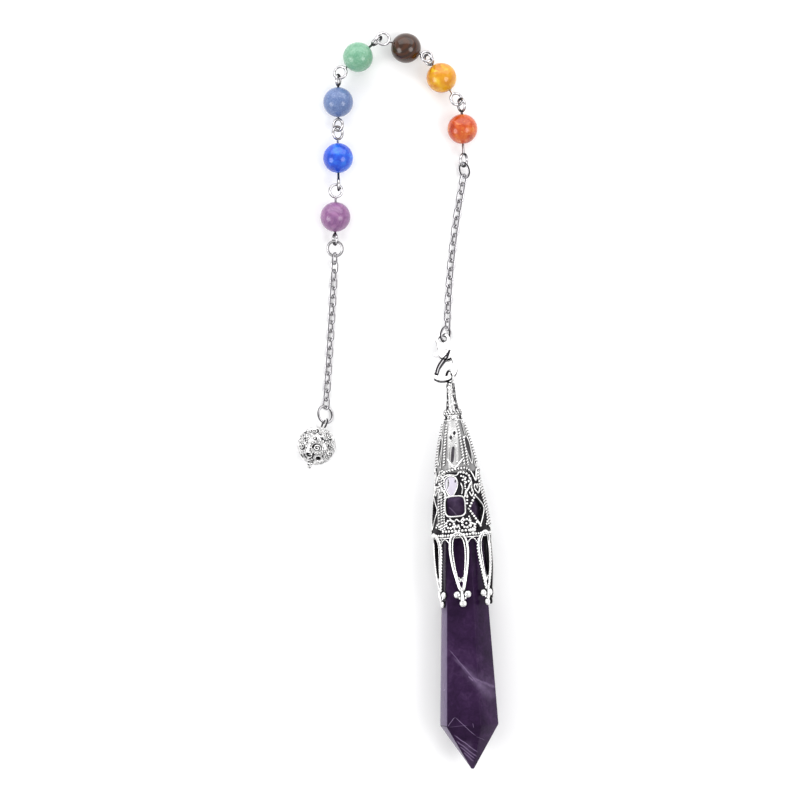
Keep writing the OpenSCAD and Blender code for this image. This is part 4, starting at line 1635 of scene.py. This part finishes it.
        # Inner wall behind the drop-shaped openings: pale coat and painted glow.
        bright = (s > start) & (s < end)
        inside = (lift < np.where(bright, -0.13 * MM, -0.3 * MM)).astype(np.float32)
        # Painted shadow under the ornament; the wall is also darker from dark_from down.
        shadow = self._shadow(ornament, turn, s, lift)
        hollow = np.maximum(shadow, np.clip((s - self.dark_from) / (1.5 * MM), 0, 1))
        # Painted shade on the wall away from each wide panel's middle, where it turns aside.
        off = np.abs(np.angle(np.exp(3j * (turn - math.radians(self.bell.first_panel))))) / 3
        sides = 0.62 * np.clip((off * r / MM - 0.9) / 0.3, 0, 1) * np.clip(s / MM - 6.5, 0, 1)
        # Near the top: painted shade at the cone's sides, broken into random specks.
        rows, columns = 26, 40
        speck = np.random.default_rng(5).uniform(0.2, 1.5, (rows, columns))
        i, j = (s / MM / 0.28).astype(int) % rows, ((turn + math.pi) * 6).astype(int) % columns
        cone = np.clip((np.degrees(off) - 17) / 14, 0, 1) * np.clip(speck[i, j], 0, 1)
        hollow = np.where(s < self.cone_end, cone, hollow)
        # Inner wall: painted shade, except the pale glowing part.
        inner_shade = np.where(s > end, 1.0, np.where(s < start, 0.8, 0.0))
        hollow = np.where(inside > 0, inner_shade, np.maximum(hollow, sides))
        store(shell, hollow=hollow, inside=inside * (1 - inner_shade), lit=inside * bright)

    def _ornament(self, relief: Pile, ropes: list[np.ndarray]) -> bpy.types.Object:
        """Wires, ropes and granules as one piece.

        Args:
            relief: the wires.
            ropes: the paths of ropes.

        Returns:
            The piece.
        """
        points, ups, sizes = (np.array(column) for column in zip(*self.granules))
        spots = points_object("granules", points, size=sizes, turn=quaternions(ups))
        relief.take(granule_recipe().run(spots, self.finish))
        edges, base = [], 0
        for path in ropes:
            edges.extend((base + i, base + i + 1) for i in range(len(path) - 1))
            base += len(path)
        twist = points_object("ropes", np.vstack(ropes), edges)
        relief.take(rope_recipe().run(twist, self.finish, Thickness=0.72 * MM, Pitch=1.15 * MM))
        return relief.mesh("cap_ornament")

    def _on_prong(
        self, middle: float, across: np.ndarray, share: np.ndarray, lift: float
    ) -> tuple[np.ndarray, np.ndarray]:
        """Places on a prong.

        Args:
            middle: the prong's azimuth in radians.
            across: distances from its middle line.
            share: places along it, where 1 is its tip.
            lift: height over its own bowed surface.

        Returns:
            The points, and their outer sides.
        """
        share = np.asarray(share, float)
        front = self.prong_front * np.clip(1 - share / 0.16, 0, 1)
        tuck = self.prong_tuck * np.maximum(0, share - 0.6) / 0.4
        r = self.bell.rim - self.prong_inset
        turn = middle - np.asarray(across, float) / r
        rise = r + self.prong_bow * np.sin(np.pi * share) - tuck + front + lift
        return self.bell.at(turn, self.prong_root + share * self.prong_length, rise), self.bell.out(turn)

    def _prongs(self) -> bpy.types.Object:
        """Six long loops of wire that hold the stone, with balls at each tip, and the arches between them.

        Returns:
            The piece.
        """
        pile = Pile()
        # Prong wires and balls get painted shade away from their outer side.
        pile.edge = PaintedShade.FOOT
        other = [(-x, y) for x, y in reversed(PRONG_SIDE)]
        shape = smooth_line([(0, 0), *PRONG_SIDE, *other], 8, True)
        middles = [math.radians(self.bell.first_panel + 60 * k) for k in range(self.bell.sectors)]
        for k, middle in enumerate(middles):
            # A dark wire under the two bright ones: painted shade in the channel between them.
            pile.shade = 1.0
            points, out = self._on_prong(middle, shape[:, 0] * self.prong_half, shape[:, 1], 0.0)
            pile.tube(points, out, 0.4 * MM, 0.3 * MM, sides=10, closed=True)
            pile.shade = 0.0
            outer = shape * [1.1, 1.0] - [0, 0.01]
            inner = shape * [0.76, 0.92] + [0, 0.03]
            for line, half, deep, sides in ((outer, 0.25, 0.24, 10), (inner, 0.13, 0.2, 8)):
                points, out = self._on_prong(middle, line[:, 0] * self.prong_half, line[:, 1], 0.2 * MM)
                pile.tube(points, out, half * MM, deep * MM, sides=sides, closed=True)
            if k % 2:
                rim, _ = self._on_prong(middle, shape[:, 0] * 1.22 * self.prong_half, shape[:, 1], 0.2 * MM)
                for point in even_line(rim, 0.62 * MM, True):
                    pile.ball(point, 0.27 * MM, self.bell.out(self.bell.unrolled(point[None])[0])[0], 0.9, 6)
            for side in (1, -1):
                curl = smooth_line(PRONG_CURL, 6)
                points, out = self._on_prong(middle, side * curl[:, 0] * self.prong_half, curl[:, 1], 0.15 * MM)
                pile.tube(points, out, 0.13 * MM, sides=7)
            stem = 1 + np.linspace(-0.35, 1.75, 8) * MM / self.prong_length
            points, out = self._on_prong(middle, np.zeros(8), stem, 0.3 * MM)
            pile.tube(points, out, np.linspace(0.24, 0.44, 8) * MM, 0.36 * MM, sides=8)
            for ball in TIP_BALLS:
                share = np.array([1 + ball.down * MM / self.prong_length])
                point, out = self._on_prong(middle, np.array([ball.across * MM]), share, ball.lift * MM)
                pile.ball(point[0], self.tip_ball * ball.share, out[0], 0.66)
        share = np.linspace(0, 1, 40)
        for middle in middles:
            turn = middle + np.radians(30 * share + 15)
            s = self.bell.length + (0.25 + 2.6 * (1 - np.sin(np.pi * share) ** 0.6)) * MM
            points = self.bell.at(turn, s, np.full(len(s), self.bell.rim - self.prong_inset + 0.05 * MM))
            pile.tube(points, self.bell.out(turn), 0.13 * MM, 0.2 * MM, sides=7)
        return pile.mesh("cap_prongs")


# The stone


@dataclass
class Point:
    """The polished stone point."""

    top: Place = (12.5728 * MM, -19.3182 * MM, 6.17 * MM)
    heading: float = math.radians(-87.9)
    length: float = 54.4 * MM
    edge: float = 0.16 * MM
    stone: Amethyst = Amethyst()

    def build(self) -> bpy.types.Object:
        """Makes the stone with softened edges.

        Returns:
            The piece.
        """
        piece = merged_copy("crystal", "stone_point")
        work = bmesh.new()
        work.from_mesh(piece.data)
        bmesh.ops.dissolve_limit(work, angle_limit=math.radians(1), verts=work.verts, edges=work.edges)
        work.to_mesh(piece.data)
        work.free()
        soft = piece.modifiers.new("polished edges", "BEVEL")
        soft.width, soft.segments, soft.limit_method, soft.angle_limit = self.edge, 3, "ANGLE", math.radians(12)
        soft.harden_normals = False
        settle(piece)
        piece.data.shade_smooth()
        piece.data.set_sharp_from_angle(angle=math.radians(30))
        store(piece, flank=self._flank(piece))
        tip = Vector(self.top) + Vector((math.cos(self.heading), math.sin(self.heading), 0)) * self.length
        return dress(piece, self.stone.material(tuple(tip), self.heading), replaces=["crystal"])

    def _flank(self, piece: bpy.types.Object) -> np.ndarray:
        """1 on the facets to the left of the front one, where painted reflection goes; 0 elsewhere.

        Args:
            piece: the stone.

        Returns:
            A value for each vertex.
        """
        right = Vector((-math.sin(self.heading), math.cos(self.heading), 0))
        flank = np.zeros(len(piece.data.vertices))
        for face in piece.data.polygons:
            if face.area > 3 * MM**2 and face.normal.dot(right) < -0.5 and face.normal.z > 0.1:
                flank[list(face.vertices)] = 1.0
        return flank


# The clasp


@dataclass
class Clasp:
    """The lobster clasp: cast body, sprung lever and rivet."""

    voxel: float = 0.07 * MM
    rounds: int = 6
    joint_at: float = 8.7 * MM
    groove: Outline = (
        (10.35, 9.85), (10.1, 9.35), (9.75, 8.75), (9.3, 8.2), (8.8, 7.5), (8.4, 6.9), (8.05, 6.2), (7.8, 5.3),
    )
    metal: Silver = Silver("clasp_silver", bright=(0.78, 0.77, 0.775), gloss=0.1, cast_depth_mm=0.006)

    def build(self) -> list[bpy.types.Object]:
        """Makes the clasp's pieces, their edges rounded as cast metal's are.

        Returns:
            The pieces.
        """
        finish = self.metal.material()
        made = []
        for node, name, body in (
            ("clasp_body", "clasp_hook", PENDANT),
            ("clasp_lever", "clasp_thumb", LEVER),
            ("clasp_rivet", "clasp_pivot", PENDANT),
        ):
            piece = merged_copy(node, name)
            fine = self.voxel if node == "clasp_body" else self.voxel * 0.7
            remesh = piece.modifiers.new("cast", "REMESH")
            remesh.mode, remesh.voxel_size = "VOXEL", fine
            soft = piece.modifiers.new("tumbled", "SMOOTH")
            soft.factor, soft.iterations = 0.5, self.rounds
            settle(piece)
            piece.data.shade_smooth()
            # Painted shade on steep sides away from the joint, and along the lever's groove.
            clear = np.clip(np.abs(vertices(piece.data)[:, 1] - self.joint_at) / (0.5 * MM) - 1, 0, 1)
            store(piece, hollow=np.maximum(steep(piece, 0.68) * clear, self._painted_groove_shade(piece)))
            made.append(dress(piece, finish, body, [node]))
        return made

    def _painted_groove_shade(self, piece: bpy.types.Object) -> np.ndarray:
        """Painted shade in two stripes along the lever's arm and the groove beside it, less dark along the line
        between them.

        Args:
            piece: a piece of the clasp.

        Returns:
            A value for each vertex.
        """
        at = vertices(piece.data) / MM
        path = even_line(smooth_line(self.groove, 6), 0.08)
        apart = np.sqrt(((at[:, None, :2] - path[None]) ** 2).sum(2)).min(1)
        half = np.interp(at[:, 1], (5.3, 8.4, 9.6), (0.5, 0.48, 0.24))
        # Painted shade is held back along the groove's middle line.
        light = np.clip((0.1 - apart) / 0.05, 0, 0.6) * (at[:, 1] < 8.6)
        return np.clip((half - apart) / 0.08, 0, 1) * (1 - light) * (at[:, 2] > 1.4)


# Rings, chains and pins


@dataclass
class Findings:
    """Jump rings and cable chains."""

    rings: tuple[str, ...] = ("ring_clasp", "ring_lower", "ring_upper", "ring_ball")
    chains: tuple[str, ...] = ("chain_lower", "chain_upper")
    ring_wire: float = 0.25 * MM
    cut: float = 0.05 * MM
    cut_turn: float = 2.2
    ring_metal: Silver = Silver("ring_silver", bright=(0.66, 0.645, 0.665), gloss=0.12, cast_depth_mm=0.004)
    chain_metal: Silver = Silver("chain_silver", bright=(0.72, 0.7, 0.73), gloss=0.14, cast_depth_mm=0.006)

    def build(self) -> list[bpy.types.Object]:
        """Makes the rings and chains.

        Returns:
            The pieces.
        """
        wire = self.ring_metal.material()
        made = [self._ring(name, wire) for name in self.rings]
        link = self.chain_metal.material()
        recipe = link_recipe()
        for name in self.chains:
            parts = [frame_of(p) for p in loose_parts(merged_mesh(name))]
            turns = quaternions(np.array([a[2] for _, a in parts]), np.array([a[0] for _, a in parts]))
            points = points_object(f"{name}_links", np.array([m for m, _ in parts]), turn=turns)
            recipe.run(points, link)
            self._paint_shade(points)
            made.append(dress(points, link, replaces=[name]))
        return made

    def _paint_shade(self, chain: bpy.types.Object) -> None:
        """Stores painted shade where links touch and on each link's rims.

        Args:
            chain: the chain.
        """
        parts = loose_parts(chain.data)
        normals = np.split(normals_of(chain), np.cumsum([len(part) for part in parts])[:-1])
        hollow = []
        for i, (part, normal) in enumerate(zip(parts, normals)):
            others = np.vstack([o for k, o in enumerate(parts) if abs(k - i) == 1])
            # Painted shade where neighbouring links touch, and on rims that turn away from a link's flat faces.
            near = np.clip(1.6 - reach_to(part, others) / (0.26 * MM), 0, 1)
            flat = np.abs(normal @ frame_of(part)[1][2])
            hollow.append(np.maximum(near, np.clip((0.78 - flat) / 0.3, 0, 0.75)))
        store(chain, hollow=np.concatenate(hollow))

    def _ring(self, node: str, wire: bpy.types.Material) -> bpy.types.Object:
        """One jump ring with the fine cut where it was closed.

        Args:
            node: the CAD node.
            wire: the metal.

        Returns:
            The ring.
        """
        middle, axes = frame_of(vertices(merged_mesh(node)))
        at = vertices(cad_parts[node].data) - middle
        radius = np.linalg.norm(at, axis=1).max() - self.ring_wire
        gap = self.cut / radius
        out = circle(np.linspace(gap / 2, 2 * math.pi - gap / 2, 72) + self.cut_turn, axes[0], axes[1])
        pile = Pile()
        # Painted shade on the ring's inner and outer sides.
        pile.edge = PaintedShade.RIM
        pile.tube(middle + radius * out, out, self.ring_wire, sides=14)
        return dress(pile.mesh(f"{node}_wire"), wire, replaces=[node])


# Beads


@dataclass(frozen=True)
class Bead:
    """One bead's name, the turn of its pattern and its stone."""

    colour: str
    seed: float
    stone: Stone


BEADS = (
    Bead("orange", 0.4, Stone(
        "carnelian", Grain.CLOUDS, (0.6, 0.14, 0.02), (0.5, 0.065, 0.008), (0.35, 0.03, 0.003),
        2.2, (0.62, 0.21, 0.05),
    )),
    Bead("yellow", 1.1, Stone(
        "yellow_jade", Grain.CLOUDS, (0.68, 0.37, 0.008), (0.6, 0.25, 0.003), (0.48, 0.155, 0.002),
        3.4, (0.72, 0.47, 0.02), cloudy=0.3,
    )),
    Bead("brown", 2.0, Stone(
        "tigers_eye", Grain.BANDS, (0.054, 0.015, 0.0035), (0.038, 0.0108, 0.003), (0.026, 0.0078, 0.0025),
        0.8, cloudy=0.0,
    )),
    Bead("green", 2.9, Stone(
        "aventurine", Grain.SPECKS, (0.25, 0.45, 0.32), (0.16, 0.36, 0.235), (0.1, 0.27, 0.17), 2.4,
    )),
    Bead("light_blue", 3.7, Stone(
        "blue_quartz", Grain.SPECKS, (0.2, 0.27, 0.46), (0.11, 0.17, 0.35), (0.07, 0.11, 0.25), 1.6,
    )),
    Bead("blue", 4.6, Stone(
        "blue_jade", Grain.CLOUDS, (0.03, 0.2, 0.72), (0.009, 0.07, 0.56), (0.004, 0.03, 0.36), 3.4,
    )),
    Bead("purple", 5.5, Stone(
        "purple_quartz", Grain.SWIRLS, (0.32, 0.15, 0.31), (0.235, 0.1, 0.235), (0.16, 0.06, 0.18), 3.2,
    )),
)


@dataclass
class Beads:
    """Seven beads on their wire pins."""

    radius: float = 3.0 * MM
    bore: float = 0.4 * MM
    lip: float = 0.12 * MM
    turns: int = 64
    pin_metal: Silver = Silver("pin_silver", bright=(0.66, 0.645, 0.665), gloss=0.12, cast_depth_mm=0.004)

    def build(self) -> list[bpy.types.Object]:
        """Makes the beads and pins.

        Returns:
            The pieces.
        """
        wire = self.pin_metal.material()
        made = []
        for bead in BEADS:
            node = f"bead_{bead.colour}"
            centre, axis = self._lie(node)
            piece = self._turned(f"{node}_stone", centre, axis)
            stone = bead.stone.material(tuple(centre), bead.seed)
            made.append(dress(piece, stone, replaces=[node]))
            pin = merged_copy(f"pin_{bead.colour}", f"pin_{bead.colour}_wire")
            pin.data.shade_smooth()
            # Painted shade on the pin's steep sides.
            store(pin, hollow=steep(pin, 0.82))
            made.append(dress(pin, wire, replaces=[f"pin_{bead.colour}"]))
        return made

    def _lie(self, node: str) -> tuple[np.ndarray, np.ndarray]:
        """A bead's centre and the direction of its bore, from its CAD node.

        Args:
            node: the CAD node.

        Returns:
            The centre and the direction.
        """
        mesh = merged_mesh(node)
        at = vertices(mesh)
        edges = np.array([tuple(e.vertices) for e in mesh.edges])
        runs = at[edges[:, 1]] - at[edges[:, 0]]
        runs = runs[np.linalg.norm(runs, axis=1) > self.radius * 1.6]
        runs[runs @ runs[0] < 0] *= -1
        sphere = np.column_stack([2 * at, np.ones(len(at))])
        centre = np.linalg.lstsq(sphere, (at**2).sum(1), rcond=None)[0][:3]
        return centre, unit(runs.sum(0))

    def _turned(self, name: str, centre: np.ndarray, axis: np.ndarray) -> bpy.types.Object:
        """A bead turned round its bore, with rounded lips at both ends.

        Args:
            name: the piece's name.
            centre: its centre.
            axis: the direction of its bore.

        Returns:
            The bead.
        """
        start = math.asin((self.bore + self.lip) / self.radius)
        polar = np.linspace(start, math.pi - start, 40)
        profile = [(self.radius * math.sin(p), self.radius * math.cos(p)) for p in polar]
        end = self.radius * math.cos(start)
        ring = [(self.bore + self.lip * 0.35, end), (self.bore, end - self.lip * 0.5)]
        whole = [(r, h) for r, h in reversed(ring)] + profile + [(r, -h) for r, h in ring]
        out = circle(around(self.turns), *square_to(axis, [0.2, 0.4, 0.9]))
        points = np.array([centre + r * out + h * axis for r, h in whole]).reshape(-1, 3)
        pile = Pile()
        pile.add(points, wrapped(len(whole), self.turns, True))
        piece = pile.mesh(name)
        piece.data.set_sharp_from_angle(angle=math.radians(40))
        return piece


# The ball


@dataclass(frozen=True)
class Ring:
    """Six holes round the ball: degrees from the tail, degrees round it to the first, and radius in radians."""

    polar: float
    first: float
    size: float


BALL_HOLES = (
    Ring(63, 15, 0.27),
    Ring(117, -15, 0.27),
    Ring(34, 45, 0.15),
    Ring(146, 15, 0.15),
    Ring(90, 30, 0.12),
)


@dataclass
class Ball:
    """The openwork ball with its loop and tail."""

    centre: Place = (-16.2863 * MM, -9.20077 * MM, 3.8 * MM)
    roll: float = math.radians(70)
    climb: float = math.radians(21.2351)
    heading: float = math.radians(251)
    radius: float = 3.8 * MM
    wall: float = 0.6 * MM
    loop_radius: float = 1.15 * MM
    loop_wire: float = 0.25 * MM
    loop_at: float = 4.75 * MM
    tail: float = 1.5 * MM
    rimmed_from: float = 0.14
    coiled_from: float = 0.2
    metal: Silver = Silver("ball_silver")

    def build(self) -> bpy.types.Object:
        """Makes the ball.

        Returns:
            The piece.
        """
        finish = self.metal.material()
        turn = (
            Matrix.Rotation(self.heading, 3, "Z")
            @ Matrix.Rotation(-self.climb, 3, "Y")
            @ Matrix.Rotation(self.roll, 3, "X")
        )
        self.turn = np.array(turn)
        pile = Pile()
        # Ornament on the ball gets painted shade away from its outer side.
        pile.edge = PaintedShade.FOOT
        pile.take(self._shell())
        wall_count = pile.count
        self._wires(pile)
        pile.take(self._granules(finish))
        piece = pile.mesh("filigree_ball")
        piece.data.set_sharp_from_angle(angle=math.radians(55))
        at = vertices(piece.data)
        hollow = np.concatenate(pile.shades)
        wall, rest = at[:wall_count], at[wall_count::3]
        # Painted shade on the inner wall, seen through the holes.
        deep = np.linalg.norm(wall - np.array(self.centre), axis=1) < self.radius - 0.3 * MM
        # Random dark spots on the wall.
        scatter = np.random.default_rng(5)
        polar = np.arccos(scatter.uniform(-0.95, 0.95, 120))
        marks = self._spot(polar, scatter.uniform(0, 2 * math.pi, 120), self.radius)
        dark_spots = np.clip((0.34 * MM - reach_to(wall, marks)) / (0.1 * MM), 0, 1)
        # Painted shade on the wall round the feet of wires and granules.
        foot = 0.03 + 0.9 * np.clip(1.25 - reach_to(wall, rest) / (0.19 * MM), 0, 1)
        hollow[:wall_count] = np.where(deep, 0.9, np.maximum(foot, dark_spots))
        store(piece, hollow=hollow)
        return dress(piece, finish, replaces=["ball_charm"])

    def _spot(self, polar: np.ndarray, turn: np.ndarray, radius: float) -> np.ndarray:
        """Points on the ball: polar angle from the tail and azimuth round it."""
        polar, turn = np.asarray(polar, float), np.asarray(turn, float)
        local = np.stack([np.cos(polar), np.sin(polar) * np.cos(turn), np.sin(polar) * np.sin(turn)], -1)
        return np.array(self.centre) + radius * local @ self.turn.T

    def _cone(self, polar: float, turn: float, angles: np.ndarray, reach: np.ndarray | float) -> np.ndarray:
        """Directions round a place on the ball.

        Args:
            polar: the place's polar angle.
            turn: its azimuth.
            angles: where round it each direction lies.
            reach: how far from it, in radians.

        Returns:
            The directions, one long along the place's own.
        """
        aim = unit(self._spot(np.array([polar]), np.array([turn]), 1.0)[0] - np.array(self.centre))
        one, two = square_to(aim, self.turn[:, 0])
        return aim + np.tan(reach) * circle(angles, one, two * 0.85)

    def _holes(self) -> list[tuple[float, float, float]]:
        """Polar angle, azimuth and radius in radians of each hole.

        Returns:
            The holes.
        """
        return [
            (math.radians(ring.polar), math.radians(60 * k + ring.first), ring.size)
            for k in range(6)
            for ring in BALL_HOLES
        ]

    def _shell(self) -> bpy.types.Object:
        """The pierced wall.

        Returns:
            The wall.
        """
        pile = Pile()
        pile.ball(np.array(self.centre), self.radius - 0.06 * MM, self.turn[:, 0], rows=40)
        inner = Pile()
        inner.ball(np.array(self.centre), self.radius - self.wall, self.turn[:, 0], rows=30)
        base = pile.count
        pile.faces.extend([[base + v for v in reversed(face)] for face in inner.faces])
        pile.add(np.vstack(inner.points))
        shell = pile.mesh("ball_wall")
        plugs = Pile()
        for polar, turn, size in self._holes():
            cone = self._cone(polar, turn, around(14), size)
            plugs.plug(*(np.array(self.centre) + self.radius * share * cone for share in (0.6, 1.2)))
        pierce(shell, plugs)
        return shell

    def _wires(self, pile: Pile) -> None:
        """Rims of the holes, the loop and the tail's coil.

        Args:
            pile: where they go.
        """
        centre = np.array(self.centre)
        for polar, turn, size in self._holes():
            if size < self.rimmed_from:
                continue
            ring = unit(self._cone(polar, turn, around(24), size + 0.035))
            pile.tube(centre + ring * (self.radius - 0.08 * MM), ring, 0.12 * MM, 0.16 * MM, sides=6, closed=True)
            if size < self.coiled_from:
                continue
            angles = np.linspace(0, 3.4 * math.pi, 40) + polar * 3 + turn * 2
            coil = unit(self._cone(polar, turn, angles, np.linspace(size * 0.92, size * 0.18, 40)[:, None]))
            pile.tube(centre + coil * (self.radius - 0.1 * MM), coil, 0.13 * MM, 0.15 * MM, sides=6)
        axis = self.turn[:, 0]
        up = self.turn[:, 2]
        # The loops get painted shade on their inner and outer sides.
        pile.edge = PaintedShade.RIM
        pile.loop(centre - axis * self.loop_at, up, self.loop_radius, self.loop_wire)
        pile.loop(centre - axis * (self.radius - 0.1 * MM), axis, 0.75 * MM, 0.16 * MM)
        pile.edge = PaintedShade.FOOT
        coil = np.linspace(0, 5 * math.pi, 60)
        out = circle(coil, self.turn[:, 1], self.turn[:, 2])
        rise = np.linspace(-0.3 * MM, self.tail - 0.3 * MM, 60)
        width = np.linspace(0.62 * MM, 0.22 * MM, 60)
        pile.tube(centre + axis * self.radius + rise[:, None] * axis + width[:, None] * out, out, 0.17 * MM, sides=7)
        pile.ball(centre + axis * (self.radius + self.tail - 0.32 * MM), 0.34 * MM, axis)

    def _clear(self, polar: float, turn: float) -> bool:
        """Whether a place on the ball lies clear of every hole.

        Args:
            polar: its polar angle.
            turn: its azimuth.

        Returns:
            Whether it does.
        """
        for p, q, size in self._holes():
            cosine = math.cos(polar) * math.cos(p) + math.sin(polar) * math.sin(p) * math.cos(turn - q)
            if math.acos(min(1.0, cosine)) <= size + 0.17:
                return False
        return True

    def _granules(self, finish: bpy.types.Material) -> bpy.types.Object:
        """Granules between the holes and in rings round the poles.

        Args:
            finish: the metal.

        Returns:
            The granules.
        """
        points, ups, sizes = [], [], []

        def put(polar: float, turn: float, size: float) -> None:
            """Notes one granule.

            Args:
                polar: its polar angle.
                turn: its azimuth.
                size: its radius in millimetres.
            """
            spot = self._spot(np.array([polar]), np.array([turn]), self.radius - 0.08 * MM)[0]
            points.append(spot)
            ups.append(unit(spot - np.array(self.centre)))
            sizes.append(size * MM)

        for polar, count in ((20, 10), (90, 40), (158, 10)):
            for k in range(count):
                put(math.radians(polar), 2 * math.pi * (k + 0.5) / count, 0.2)
        for polar, turn, size in self._holes():
            if size > self.coiled_from:
                reach = size + 0.11
                for b in around(14):
                    put(polar + reach * math.cos(b) * 0.85, turn + reach * math.sin(b) / math.sin(polar), 0.16)
        scatter = np.random.default_rng(11)
        for _ in range(300):
            polar, turn = math.acos(scatter.uniform(-0.93, 0.93)), scatter.uniform(0, 2 * math.pi)
            if self._clear(polar, turn):
                put(polar, turn, scatter.uniform(0.1, 0.17))
        field_ = points_object(
            "ball_granules", np.array(points), size=np.array(sizes), turn=quaternions(np.array(ups))
        )
        return granule_recipe().run(field_, finish)


# The studio


@dataclass(frozen=True)
class Lamp:
    """A flat light that faces the object: its place, its sides and how bright it looks, where 1 is white."""

    name: str
    at: Place
    size: tuple[float, float]
    glow: float
    shape: str = "RECTANGLE"


LAMPS = (
    Lamp("softbox", (0.0, 0.74, 0.4), (2.0, 0.8), 1.9),
    Lamp("left_lamp", (-0.5, -0.128, 0.322), (0.38, 0.38), 4.2, "ELLIPSE"),
    Lamp("right_lamp", (0.42, -0.09, 0.52), (0.4, 0.4), 4.2, "ELLIPSE"),
)


@dataclass
class Studio:
    """A white table, the lamps, a pale sky and the camera straight above."""

    middle: tuple[float, float] = (0.396 * MM, -0.07 * MM)
    table_half: float = 1.6
    sky: float = 0.7
    view_width: float = 160 * MM
    view_height: float = 4 * MM
    distance: float = 1.1
    sensor: float = 36.0

    def build(self) -> None:
        """Sets up floor, lights, world and camera."""
        pile = Pile()
        x, y, half = *self.middle, self.table_half
        corners = [(x - half, y - half, 0), (x + half, y - half, 0), (x + half, y + half, 0), (x - half, y + half, 0)]
        pile.add(np.array(corners), np.array([[0, 1, 2, 3]]))
        floor = pile.mesh("table")
        floor.data.materials.append(Paper().material())
        for lamp in LAMPS:
            self._light(lamp)
        world = bpy.data.worlds.new("studio")
        bpy.context.scene.world = world
        world.use_nodes = True
        sky = world.node_tree.nodes["Background"]
        sky.inputs["Color"].default_value = (1, 1, 1, 1)
        sky.inputs["Strength"].default_value = self.sky
        bpy.context.scene.view_settings.view_transform = "Standard"
        self._camera()

    def _light(self, lamp: Lamp) -> None:
        """Adds one lamp, with the power that gives it its glow.

        Args:
            lamp: the lamp.
        """
        light = bpy.data.lights.new(lamp.name, "AREA")
        wide, high = lamp.size
        area = wide * high * (1 if lamp.shape == "RECTANGLE" else math.pi / 4)
        light.shape, light.size, light.size_y, light.energy = lamp.shape, wide, high, lamp.glow * math.pi * area
        made = bpy.data.objects.new(lamp.name, light)
        made.location = lamp.at
        made.rotation_euler = (-Vector(lamp.at)).to_track_quat("-Z", "Y").to_euler()
        bpy.context.scene.collection.objects.link(made)

    def _camera(self) -> None:
        """Adds the camera, straight above the middle of the photograph."""
        lens = bpy.data.cameras.new("camera")
        lens.sensor_width = self.sensor
        lens.lens = self.sensor * (self.distance - self.view_height) / self.view_width
        lens.clip_start, lens.clip_end = 0.05, 10
        made = bpy.data.objects.new("camera", lens)
        made.location = (*self.middle, self.distance)
        bpy.context.scene.collection.objects.link(made)
        bpy.context.scene.camera = made


def main() -> None:
    """Builds every sub-assembly in order."""
    logging.basicConfig(level=logging.INFO, format="%(message)s")
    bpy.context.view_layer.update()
    Studio().build()
    pieces: list[bpy.types.Object] = []
    pieces.append(Point().build())
    pieces.extend(Cap().build())
    pieces.extend(Clasp().build())
    pieces.extend(Findings().build())
    pieces.extend(Beads().build())
    pieces.append(Ball().build())
    LOG.info("%d pieces, %d faces", len(pieces), sum(len(p.data.polygons) for p in pieces))


if __name__ == "__main__":
    main()
